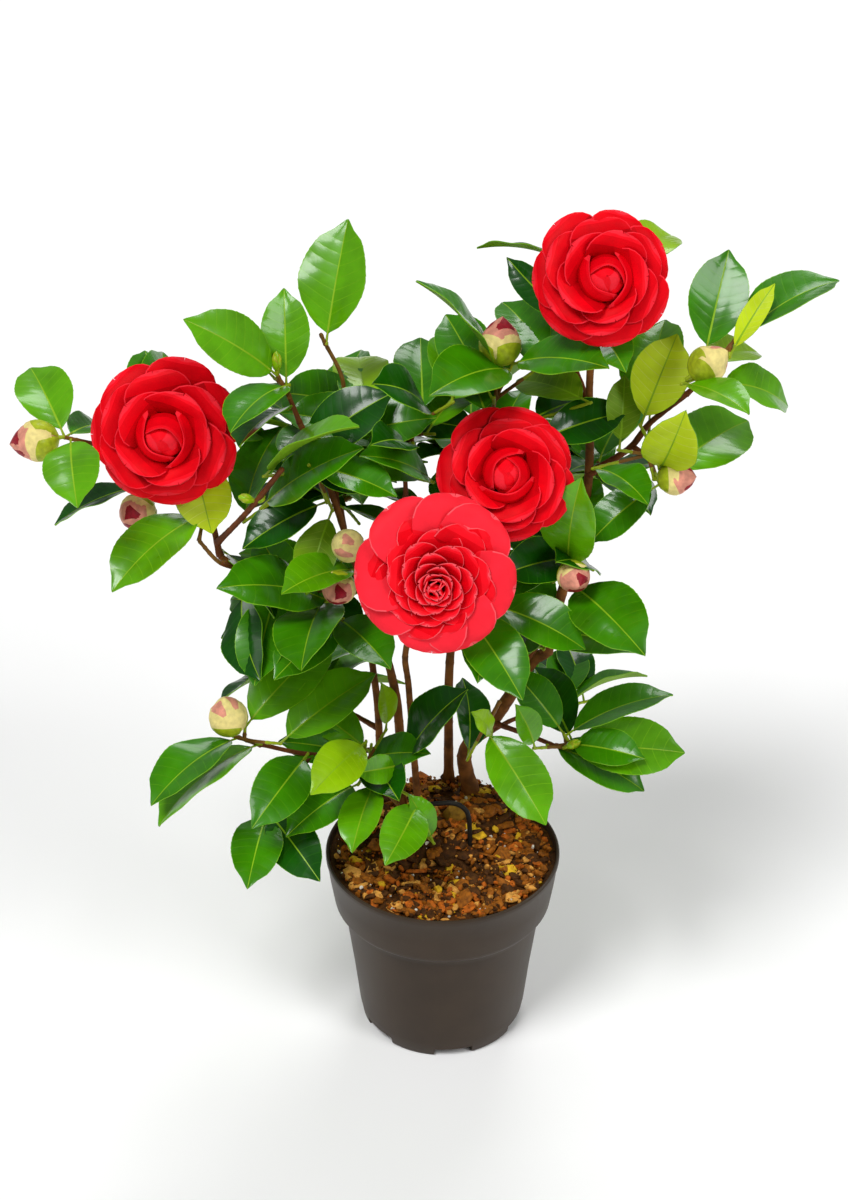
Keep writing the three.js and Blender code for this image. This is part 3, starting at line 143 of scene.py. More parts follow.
# ---- masses of leaves ----------------------------------------------------------------------------
# Each has a stem that leaves its bough at the tip, or at the share `at` of its length, and shoots
# that leave the stem in the same way. A shoot ends at `tip`, or at the stem's own tip. There its fan
# of leaves [count, first heading, turn, first rise, lift, length] stands one below the other, and a
# bud [heading, rise, length] may sit, a flower bud if it is longer than FLOWER_BUD. `ripe` is how far
# the bud has coloured, from 0, all green, to 1. Sprigs are grown by the seed inside `space`.
# For its leaves a shoot may give `tone`, the greens of the spray, `roll`, the turn about the leaf's
# own length, and `arch`, the bend along it, both in degrees, and `broad`, the breadth as a share of
# the usual one. `facing` is where the upper faces of a whole mass turn.
FLOWER_BUD = 14
NO_LEAVES = (0, 0, 0, 0, 0, 0)
MASSES = [
    dict(name="foliage_far_left", seed=11, grows_from="bough_far_left", stem=[[-247, -15, 492]],
         shoots=[
             dict(fan=[2, 116, -186, 14, -24, 70], bud=[-176, -7, 33], ripe=0.9, tone="light"),
             dict(fan=[2, 70, -122, -21, 28, 54]),
         ]),
    dict(name="foliage_left", seed=12, grows_from="bough_far_left", at=0.56,
         stem=[[-184, 34, 462], [-188, 30, 478]],
         shoots=[
             dict(tip=[-198, 18, 470], fan=[2, 98, -8, 27, -10, 74], roll=35),
             dict(at=0.5, tip=[-196, 6, 431], bud=[-118, 5, 30], ripe=1.0),
             dict(at=0.5, tip=[-202, 16, 438], fan=[1, -165, 0, -20, 0, 58], roll=34, tone="deep"),
             dict(tip=[-172, 26, 464], fan=[2, 69, -40, 8, -20, 62]),
             dict(at=0.4, tip=[-166, 9, 468], fan=[1, -66, 0, -55, 0, 48], tone="pale", broad=1.4),
         ]),
    dict(name="foliage_left_low", seed=34, grows_from="bough_left", at=0.9,
         stem=[[-150, -24, 404], [-162, -24, 420]],
         shoots=[
             dict(tip=[-159, -8, 433], fan=[1, -141, 0, -22, 0, 82], roll=24, tone="light"),
             dict(at=0.4, tip=[-151, 14, 391], fan=[1, -73, 0, -25, 0, 62], roll=-40, tone="deep"),
         ]),
    dict(name="foliage_upper_left", seed=13, grows_from="bough_upper_left",
         stem=[[-100, -12, 519], [-107, -14, 536]],
         shoots=[
             dict(fan=[1, -163, 0, 38, 0, 68], bud=[95, 80, 14], tone="bright"),
             dict(at=0.5, tip=[-102, -12, 527], fan=[1, 90, 0, 60, 0, 60], tone="bright"),
             dict(at=0.8, tip=[-110, -4, 529], fan=[1, 132, 0, 7, 0, 60], tone="bright"),
             dict(at=0.6, tip=[-99, -20, 532], fan=[1, -116, 0, -1, 0, 66], roll=24, tone="mid"),
             dict(at=0.35, tip=[-98, -4, 506], fan=[1, -116, 0, 5, 0, 62], roll=24, tone="deep"),
         ]),
    dict(name="foliage_inner_left", seed=14, grows_from="bough_upper_left", at=0.72,
         stem=[[-84, -16, 468]], space=[[-116, -70, 390], [-20, 70, 520]], sprigs=5,
         shoots=[
             dict(tip=[-121, -24, 444], fan=[1, -14, 0, 36, 0, 84], roll=-12),
             dict(tip=[-118, -28, 470], fan=[1, -23, 0, 35, 0, 78], roll=-28, tone="bright"),
             dict(tip=[-101, 18, 474], fan=[1, 71, 0, 7, 0, 62], roll=-8),
             dict(tip=[-78, -2, 436], fan=[1, -165, 0, -22, 0, 60], tone="deep"),
             dict(tip=[-74, -6, 432], fan=[1, -118, 0, -52, 0, 54], tone="olive"),
             dict(tip=[-134, -7, 424], fan=[1, 68, 0, 31, 0, 70], roll=-36),
             dict(tip=[-70, 12, 484], fan=[3, 90, -45, 6, 4, 64], tone="inner"),
         ]),
    dict(name="foliage_tall", seed=15, grows_from="bough_upper_left", at=0.86,
         stem=[[-66, 12, 512], [-80, 11, 553]],
         shoots=[
             dict(at=0.9, tip=[-76, 11, 547], fan=[1, 72, 0, 57, 0, 78], roll=-8, tone="bright",
                  arch=10, broad=1.18),
         ]),
    dict(name="foliage_centre_top", seed=16, grows_from="stem_twin",
         stem=[[-26, 12, 466], [-20, 6, 490]], space=[[-80, -60, 410], [30, 80, 505]], sprigs=6,
         shoots=[
             dict(at=0.7, tip=[-32, -9, 480], fan=[2, 118, 60, 16, 0, 74], roll=16),
             dict(at=0.8, tip=[-52, 14, 498], fan=[2, 97, 55, 3, -8, 68], tone="light"),
             dict(tip=[-10, 2, 502], fan=[2, -131, -139, 36, -18, 66]),
             dict(tip=[6, 0, 510], fan=[2, 93, -50, 12, 0, 64], tone="light"),
             dict(at=0.3, tip=[-7, -8, 455], fan=[2, -142, -40, 33, -12, 66]),
         ]),
    dict(name="foliage_centre_right", seed=17, grows_from="stem_back", at=0.9,
         stem=[[30, 34, 436], [30, 24, 478], [33, 14, 505]], space=[[0, -40, 430], [110, 70, 560]],
         sprigs=5,
         shoots=[
             dict(tip=[34, 0, 532], fan=[1, -168, 0, 50, 0, 78], roll=40, bud=[79, 66, 33], ripe=0.8),
             dict(tip=[68, 9, 536], fan=[2, 122, -40, 16, 0, 62], tone="mid"),
             dict(at=0.8, tip=[27, -6, 502], fan=[1, 103, 0, 2, 0, 66]),
             dict(tip=[44, 4, 536], fan=[2, -37, -92, 12, -6, 76], tone="mid"),
             dict(at=0.7, tip=[95, -3, 511], fan=[1, 132, 0, -7, 0, 66], tone="olive"),
             dict(at=0.6, tip=[60, -6, 484], fan=[1, 2, 0, 15, 0, 58], tone="deep"),
         ]),
    dict(name="foliage_top_right", seed=18, grows_from="bough_right", at=0.9,
         stem=[[86, 14, 560], [84, 14, 572]],
         shoots=[
             dict(tip=[80, 12, 602], fan=[1, 158, 0, -4, 0, 62], roll=50, tone="deep", broad=0.7),
             dict(tip=[80, 5, 562], fan=[1, 151, 0, 38, 0, 52], roll=-48, tone="deep", broad=0.7),
             dict(tip=[112, 8, 600], fan=[2, 60, 25, 0, -14, 66], tone="light"),
             dict(at=0.6, tip=[92, 10, 562], fan=[1, -65, 0, -12, 0, 50]),
         ]),
    dict(name="foliage_far_right", seed=19, grows_from="bough_far_right",
         stem=[[165, -10, 532], [188, -2, 560]],
         shoots=[
             dict(at=0.9, tip=[188, -3, 555], fan=[1, 29, 0, 20, 0, 72], roll=-22, tone="mid",
                  broad=1.1),
             dict(at=0.6, tip=[164, -5, 545], fan=[1, 68, 0, 55, 0, 66], tone="mid", arch=12,
                  broad=1.1),
             dict(at=0.8, tip=[181, -9, 545], fan=[1, 38, 0, 46, 0, 48], tone="pale", broad=0.6),
             dict(at=0.35, tip=[154, -14, 533], bud=[18, 30, 30], ripe=0.4),
             dict(at=0.4, tip=[162, 1, 536], fan=[1, 48, 0, -12, 0, 56], roll=-8, tone="young"),
             dict(at=0.35, tip=[150, -14, 529], fan=[1, -52, 0, 0, 0, 56], roll=-20, tone="bright"),
             dict(at=0.4, tip=[174, -8, 526], fan=[1, 30, 0, -32, 0, 62], roll=-8, tone="bright"),
         ]),
    dict(name="foliage_right_mid", seed=20, grows_from="bough_far_right", at=0.4,
         stem=[[136, -8, 474], [146, -9, 478]], space=[[85, -30, 420], [135, 60, 530]], sprigs=2,
         shoots=[
             dict(tip=[144, -8, 459], fan=[1, 48, 0, 6, 0, 84], tone="bright"),
             dict(at=0.5, tip=[137, -13, 460], bud=[-20, 14, 27], ripe=0.7),
             dict(at=0.7, tip=[126, -8, 498], fan=[1, 40, 0, 50, 0, 56], tone="pale", arch=14,
                  broad=1.2),
             dict(at=0.7, tip=[141, -9, 464], fan=[1, -71, 0, 57, 0, 66], roll=68, tone="pale"),
             dict(at=0.5, tip=[112, -10, 480], fan=[1, 84, 0, 56, 0, 44], tone="olive"),
             dict(at=0.5, tip=[96, -10, 466], fan=[1, -58, 0, 1, 0, 52], roll=-20, tone="mid"),
             dict(at=0.5, tip=[143, 2, 447], fan=[1, -156, 0, -34, 0, 54], tone="bright"),
             dict(at=0.5, tip=[134, 7, 491], fan=[1, 77, 0, 25, 0, 80], roll=-28),
         ]),
    dict(name="foliage_right_low", seed=21, grows_from="bough_right", at=0.29, stem=[[86, -2, 390]],
         space=[[30, -60, 310], [106, 70, 440]], sprigs=6,
         shoots=[
             dict(tip=[82, -31, 405], fan=[2, -72, 150, 78, -60, 76], roll=-16, bud=[-79, -1, 26],
                  ripe=0.9, tone="light"),
             dict(tip=[87, -20, 381], fan=[2, -60, -176, -6, 20, 82], tone="light"),
             dict(at=0.4, tip=[74, 2, 372], fan=[2, 100, 70, 0, -10, 70]),
         ]),
    dict(name="foliage_right_under", seed=32, grows_from="bough_right_under", stem=[[74, -4, 338]],
         space=[[10, -50, 290], [120, 40, 372]], sprigs=4,
         shoots=[
             dict(fan=[2, 113, -156, 3, 8, 76]),
             dict(tip=[66, -8, 344], fan=[2, 160, 60, 10, -10, 62]),
         ]),
    dict(name="foliage_low_right", seed=22, grows_from="bough_low_right", stem=[[90, -24, 254]],
         space=[[40, -60, 200], [140, 60, 272]], sprigs=3,
         shoots=[
             dict(tip=[84, -22, 264], fan=[1, 12, 0, 18, 0, 72], roll=-25, tone="mid"),
             dict(tip=[84, -27, 256], fan=[1, -4, 0, -4, 0, 76], roll=6, bud=[-20, 35, 13],
                  tone="bright"),
             dict(at=0.7, tip=[84, -14, 260], fan=[1, 150, 0, 39, 0, 54], tone="mid"),
             dict(at=0.5, tip=[72, -18, 252], fan=[1, -15, 0, -22, 0, 68], tone="mid"),
             dict(at=0.4, tip=[62, -28, 256], fan=[1, -161, 0, 65, 0, 40], tone="young"),
         ]),
    dict(name="foliage_low_front", seed=23, grows_from="bough_low_front",
         stem=[[33, -32, 286], [38, -38, 302]],
         shoots=[
             dict(tip=[27, -41, 280], fan=[1, -43, 0, -41, 0, 72], tone="light"),
             dict(at=0.5, tip=[33, -39, 271], fan=[1, -154, 0, 49, 0, 32], tone="young"),
             dict(at=0.35, tip=[17, -3, 228], fan=[1, 83, 0, 23, 0, 60], roll=44, tone="deep"),
         ]),
    dict(name="foliage_low_left", seed=24, grows_from="bough_low_left", stem=[[-146, -27, 266]],
         shoots=[
             dict(bud=[-149, 80, 33], ripe=0.4),
             dict(at=0.8, tip=[-142, -23, 262], fan=[1, -131, 0, -11, 0, 80], roll=32),
             dict(at=0.5, tip=[-127, -19, 253], fan=[1, -137, 0, -17, 0, 88], roll=32, tone="light"),
             dict(at=0.6, tip=[-138, -20, 270], fan=[1, 44, 0, 24, 0, 84], tone="light"),
             dict(at=0.45, tip=[-112, -34, 264], fan=[1, 30, 0, 20, 0, 80], tone="light"),
         ]),
    dict(name="foliage_low_left_drop", seed=33, grows_from="bough_low_left", at=0.6,
         stem=[[-104, -16, 228], [-124, -26, 206]],
         shoots=[
             dict(tip=[-126, -17, 191], fan=[2, -97, 43, -12, -9, 66]),
             dict(at=0.35, tip=[-95, -12, 241], fan=[1, -122, 0, -13, 0, 70], roll=-16),
         ]),
    dict(name="foliage_low_inner", seed=25, grows_from="bough_low_inner", stem=[[-58, -6, 222]],
         space=[[-110, -60, 170], [-10, 40, 290]], sprigs=4,
         shoots=[
             dict(tip=[-54, -20, 257], fan=[1, -123, 0, -7, 0, 58], tone="young"),
             dict(tip=[-30, -17, 234], fan=[1, -134, 0, 18, 0, 40], roll=-28, tone="young"),
             dict(at=0.5, tip=[-47, -23, 224], fan=[1, -102, 0, -20, 0, 56], roll=12, tone="young"),
             dict(at=0.4, tip=[-16, -27, 209], fan=[1, -115, 0, -15, 0, 56], roll=-12, tone="young"),
             dict(at=0.4, tip=[-6, -35, 178], fan=[1, 162, 0, 65, 0, 36], tone="young"),
             dict(at=0.5, tip=[-61, -10, 211], fan=[1, -130, 0, -9, 0, 68]),
             dict(tip=[-40, 5, 250], fan=[1, 156, 0, 82, 0, 34], roll=36, tone="young"),
             dict(at=0.3, tip=[-25, -4, 231], fan=[1, -9, 0, 53, 0, 74], roll=-12, tone="deep"),
         ]),
    dict(name="foliage_centre_left", seed=26, grows_from="bough_left", at=0.38, stem=[[-94, 0, 360]],
         space=[[-150, -60, 290], [-20, 60, 430]], sprigs=5,
         shoots=[
             dict(tip=[-76, -12, 365], fan=[2, -147, 50, 22, -20, 86], roll=12, tone="mid"),
             dict(tip=[-57, -27, 400], fan=[1, -132, 0, 6, 0, 60], roll=12, tone="bright"),
             dict(tip=[-59, -28, 418], bud=[-110, 30, 26], ripe=0.4),
             dict(tip=[-67, -35, 400], bud=[-100, -5, 27], ripe=0.7),
             dict(at=0.8, tip=[-114, -6, 374], fan=[1, -102, 0, -40, 0, 66], tone="mid"),
             dict(tip=[-139, 3, 364], fan=[1, -73, 0, -25, 0, 68], roll=44, tone="deep"),
             dict(at=0.4, tip=[-68, -12, 352], fan=[2, -130, 70, -10, 6, 66], tone="mid"),
         ]),
    dict(name="foliage_centre_low", seed=35, grows_from="stem_centre", at=0.88,
         stem=[[0, -44, 376], [14, -50, 382]],
         shoots=[
             dict(fan=[1, -56, 0, -25, 0, 70]),
             dict(at=0.8, tip=[34, -36, 380], fan=[2, -100, 75, -22, 8, 64]),
         ]),
    dict(name="foliage_back_high", seed=36, grows_from="bough_back_high", facing=BACK,
         stem=[[66, 66, 552]], space=[[35, 30, 500], [115, 120, 556]], sprigs=4,
         shoots=[
             dict(fan=[4, 70, -56, 0, -4, 62]),
             dict(at=0.4, tip=[90, 66, 534], fan=[2, 60, 50, 0, 4, 58]),
         ]),
    dict(name="foliage_back_upper", seed=37, grows_from="bough_upper_left", at=0.6, facing=BACK,
         stem=[[-74, 26, 456], [-70, 48, 474]], space=[[-115, 20, 430], [-40, 105, 488]], sprigs=5,
         shoots=[
             dict(fan=[4, 80, 80, 16, -4, 66]),
             dict(at=0.6, tip=[-96, 50, 462], fan=[2, 130, 60, 0, 8, 62]),
         ]),
    dict(name="foliage_back_left", seed=27, grows_from="bough_back_left", facing=BACK,
         stem=[[-72, 76, 398], [-70, 84, 424]], space=[[-135, 35, 330], [-15, 135, 458]], sprigs=13,
         shoots=[
             dict(fan=[4, 90, 95, 20, -6, 68]),
             dict(at=0.5, tip=[-92, 80, 398], fan=[3, 150, 80, 5, 8, 66]),
         ]),
    dict(name="foliage_back_centre", seed=28, grows_from="bough_back_centre", facing=BACK,
         stem=[[16, 100, 424], [20, 98, 446]], space=[[-35, 40, 350], [75, 160, 470]], sprigs=13,
         shoots=[
             dict(fan=[4, 90, 85, 20, -4, 68]),
             dict(at=0.4, tip=[40, 110, 412], fan=[3, 60, 80, 0, 8, 66]),
         ]),
    dict(name="foliage_back_right", seed=29, grows_from="bough_back_right", facing=BACK,
         stem=[[108, 80, 424]], space=[[55, 30, 372], [126, 140, 462]], sprigs=12,
         shoots=[
             dict(fan=[4, 60, 80, 14, -4, 66]),
             dict(at=0.3, tip=[120, 92, 404], fan=[2, 40, 80, -10, 8, 62]),
         ]),
    dict(name="foliage_low_back_left", seed=30, grows_from="bough_low_back_left", facing=BACK,
         stem=[[-104, 62, 240]], space=[[-160, 20, 175], [-45, 130, 270]], sprigs=8,
         shoots=[
             dict(fan=[3, 150, -70, 10, -4, 62]),
             dict(at=0.3, tip=[-92, 82, 236], fan=[2, 110, -70, -8, 8, 60]),
         ]),
    dict(name="foliage_low_back_right", seed=31, grows_from="bough_low_back_right", facing=BACK,
         stem=[[94, 68, 230]], space=[[40, 20, 175], [136, 135, 240]], sprigs=8,
         shoots=[
             dict(fan=[3, 20, 60, 10, -4, 62]),
             dict(at=0.3, tip=[84, 84, 228], fan=[2, 80, 50, -8, 8, 60]),
         ]),
]
# Leaf buds that sit on a limb itself, counted with a mass.
BARE_BUDS = [
    dict(mass="foliage_left_low", grows_from="pruned_twig", at=0.62, bud=[-150, 30, 13]),
    dict(mass="foliage_left_low", grows_from="pruned_twig", at=0.6, bud=[-20, 40, 9]),
]

# ---- the pot and the mulch -------------------------------------------------------------------------
# Radius and height under the floor with its foot ring, up the outer wall with the rounded foot, the
# step and the rolled rim, and down the inside to below the mulch.
POT_UNDER = [(0.0, 0.0), (20.0, 0.0), (49.6, 0.0), (50.0, 0.2), (53.5, 0.0)]
POT_WALL = [
    (57.5, 0.0), (59.2, 0.5), (60.2, 2.2), (61.9, 12.0), (62.4, 14.5), (66.0, 48.0), (70.2, 81.0),
    (72.2, 97.0), (72.8, 100.4), (74.2, 103.2), (78.6, 106.4), (79.7, 108.0), (80.1, 110.0),
    (82.6, 126.0), (84.6, 142.5), (85.4, 144.0), (85.5, 146.6), (84.9, 147.8), (84.0, 148.0),
]
POT_INSIDE = [(83.4, 147.7), (83.0, 146.8), (82.8, 145.0), (82.4, 138.0), (81.2, 126.0), (78.6, 108.0)]
# The drain notches: how many, how wide and high, the heading of the first and the foot's radius. The
# profile between the radii `start` and `end` is lifted, and beyond `bend` it also moves out to `face`.
NOTCH = dict(count=6, width=28, height=7, first=-82, radius=60, start=50.0, end=61.5, bend=56, face=61.0)
NOTCH_EDGE = 0.4  # degrees of turn in which a notch's side rises
# The mulch: its height by the wall and the rise of its mound, the middle of the mound, the radius of
# its flat top and the run of its slope, the pot's inner radius and how far in from it the rise is whole.
GROUND = dict(rim=145, rise=18, x=-8, y=40, flat=44, slope=24, wall=82.5, edge=16)


def ground_height(x, y):
    """Height of the mulch: level by the pot's wall, mounded round the stems."""
    from_top = math.hypot(x - GROUND["x"], y - GROUND["y"])
    from_wall = GROUND["wall"] - math.hypot(x, y)
    mound = ease((GROUND["flat"] + GROUND["slope"] - from_top) / GROUND["slope"])
    return GROUND["rim"] + GROUND["rise"] * mound * ease(from_wall / GROUND["edge"])


# ---- the rule that the sprays grow by --------------------------------------------------------------
# Radii at the base and tip of a mass's stem and of its twigs.
STEM = dict(base=1.7, tip=1.25)
TWIG = dict(base=1.35, tip=1.0)
SHORTEST_TWIG = 1  # a shoot that ends nearer to the stem than this has no twig of its own
FIRST_LEAF = 1.6  # from the tip of a twig to its first leaf
LEAF_STEP = 5  # between two leaves of a fan, down the twig
LEAF_TURN = 137.5  # degrees between two leaves of a sprig, the golden turn
LEAF_ARCH = 30  # the least that a leaf droops along its length, in degrees
LEAF_FOLD = 14  # the least that its halves fold up, in degrees
TURNS = (0, 7, -7, 14, -14)  # degrees a leaf may turn to find room
# Room kept to each kind of neighbour, and to other leaves by a placed leaf and by a grown one.
CLEAR = dict(limb=1.2, twig=0.9, other_twig=1.5, bud=1.5, placed=1.4, grown=4.5)
# A spot of a leaf is too near the rim inside this radius and below this height, and too near the
# mulch inside this radius and with a smaller gap to it.
RIM_ROOM = dict(radius=88, height=149)
MULCH_ROOM = dict(radius=84, gap=4)
NEAR_ROOT = 0.2  # share of a leaf's length, by its stalk, that may come close to anything
NEAR_ROOT_OWN = 0.4  # the same between two leaves of one shoot
IN_BLOOM = 0.15  # share of a leaf's spots in a bloom above which it's left out in any case
# A sprig's length and rise, how many leaves it has, always fewer than the second number, their length
# and rise, each between two bounds, and how far the end of a leaf may pass its space.
SPRIG = dict(length=(14, 38), rise=(-25, 50), leaves=(2, 5), leaf_length=(50, 72), leaf_rise=(-20, 35),
             past=6)
# Spots on a leaf that are tested for room: a share of its length and one of its half width.
SAMPLES = np.array([
    (0.12, 0), (0.3, 0), (0.5, 0), (0.7, 0), (0.88, 0), (1, 0), (0.25, 0.9), (0.25, -0.9),
    (0.45, 0.95), (0.45, -0.95), (0.65, 0.9), (0.65, -0.9), (0.83, 0.8), (0.83, -0.8),
])

# Shares of the greens in each kind of spray, in the order of the first leaf finishes: deep, mid,
# bright, fresh, and the pale and olive of lower faces. The deep green is partly painted shade and
# the bright one partly painted light; the pale and olive are a lower face with painted light and
# with painted shade. `inner` sprays, inside the crown, take mostly the deep green as painted shade.
TONES = {
    "deep": (1.0, 0.0, 0.0, 0.0, 0.0, 0.0),
    "mid": (0.1, 0.9, 0.0, 0.0, 0.0, 0.0),
    "bright": (0.0, 0.15, 0.85, 0.0, 0.0, 0.0),
    "inner": (0.55, 0.38, 0.07, 0.0, 0.0, 0.0),
    "outer": (0.18, 0.5, 0.3, 0.02, 0.0, 0.0),
    "light": (0.0, 0.2, 0.6, 0.2, 0.0, 0.0),
    "young": (0.0, 0.0, 0.35, 0.65, 0.0, 0.0),
    "pale": (0.0, 0.0, 0.0, 0.0, 1.0, 0.0),
    "olive": (0.0, 0.0, 0.0, 0.0, 0.0, 1.0),
}


SEED_FACTOR = 1664525
SEED_STEP = 1013904223
SEED_RANGE = 2**32


def seeded(seed):
    """Random numbers from one seed, the same in the solids and here."""
    state = [seed]

    def between(low=0.0, high=1.0):
        state[0] = (state[0] * SEED_FACTOR + SEED_STEP) % SEED_RANGE
        return low + (high - low) * state[0] / SEED_RANGE

    return between


def point(*values):
    return np.array(values, float)


def unit(v):
    """A vector's direction, at a length of one."""
    return v / np.linalg.norm(v)


def ease(x):
    """From 0 to 1 with a soft start and end."""
    x = np.clip(x, 0, 1)
    return x * x * (3 - 2 * x)


def direction(heading, rise):
    """A unit vector from a heading round +Z (0 is +X, 90 the back) and a rise above the level."""
    h, r = math.radians(heading), math.radians(rise)
    return point(math.cos(r) * math.cos(h), math.cos(r) * math.sin(h), math.sin(r))


def on_path(path, share):
    """The point at a share of the length of a run of points."""
    runs = [np.linalg.norm(b - a) for a, b in zip(path, path[1:])]
    left = share * sum(runs)
    for a, b, run in zip(path, path[1:], runs):
        if left <= run + 1e-6:
            return a + (b - a) * left / run
        left -= run
    return path[-1].copy()


def smooth_path(points, spacing):
    """Points about `spacing` apart on the smooth curve through the way points."""
    ends = [2 * points[0] - points[1], *points, 2 * points[-1] - points[-2]]
    fine = []
    for k in range(1, len(ends) - 2):
        a, b, c, d = ends[k - 1 : k + 3]
        for t in np.linspace(0, 1, 16, endpoint=False):
            fine.append(0.5 * (2 * b + (c - a) * t + (2 * a - 5 * b + 4 * c - d) * t**2
                               + (3 * b - a - 3 * c + d) * t**3))
    fine.append(points[-1])
    fine = np.array(fine)
    run = np.concatenate([[0], np.cumsum(np.linalg.norm(np.diff(fine, axis=0), axis=1))])
    steps = max(2, int(round(run[-1] / spacing)) + 1)
    at = np.linspace(0, run[-1], steps)
    return np.column_stack([np.interp(at, run, fine[:, k]) for k in range(3)])


def leaf_width(s, spread):
    """Half the width of a leaf at a share of its length, for a length of one, drawn out at the tip."""
    s = np.clip(s, 1e-4, 1)
    tip = 1 - 0.38 * ease((s - 0.8) / 0.15)
    return 0.5 * spread * np.abs(np.sin(np.pi * s**0.96)) ** 0.72 * tip


def petal_width(s, spread):
    """Half the width of a petal at a share of its length: narrow at the root, round at the end."""
    s = np.clip(s, 1e-4, 1)
    return 0.5 * spread * np.abs(np.sin(np.pi * s**1.55)) ** 0.42


def leaf_blade(node, heading, rise, length, arch, roll, fold, facing, **looks):
    """The axes and bends of a leaf that springs from a node and turns its upper face to `facing`."""
    along = direction(heading, rise)
    up = unit(facing - along * facing.dot(along))
    side = np.cross(along, up)
    turn = math.radians(roll)
    up = up * math.cos(turn) + side * math.sin(turn)
    return dict(node=node, along=along, up=up, side=np.cross(along, up), length=length,
                arch=math.radians(arch), fold=math.radians(fold), stalk=sizes().stalk / MM, **looks)


def blade_start(blade):
    """The way that a blade sets out from its stalk."""
    half = blade["arch"] / 2
    return blade["along"] * math.cos(half) + blade["up"] * math.sin(half)


def blade_points(blade, s, out, lift):
    """Points on a blade that rises and then droops through its arch, its halves folded up."""
    arch, length = blade["arch"], blade["length"]
    turn = arch * (0.5 - s)
    run = (math.sin(arch / 2) - np.sin(turn)) / arch * length
    high = (np.cos(turn) - math.cos(arch / 2)) / arch * length
    twist = blade.get("twist", 0.0) * s
    side = np.cos(twist)[..., None] * blade["side"] + np.sin(twist)[..., None] * blade["up"]
    level = np.cos(twist)[..., None] * blade["up"] - np.sin(twist)[..., None] * blade["side"]
    normal = np.cos(turn)[..., None] * level - np.sin(turn)[..., None] * blade["along"]
    return (blade["node"] + blade_start(blade) * blade["stalk"]
            + run[..., None] * blade["along"] + high[..., None] * blade["up"]
            + (out * math.cos(blade["fold"]))[..., None] * side
            + (np.abs(out) * math.sin(blade["fold"]) + lift)[..., None] * normal)


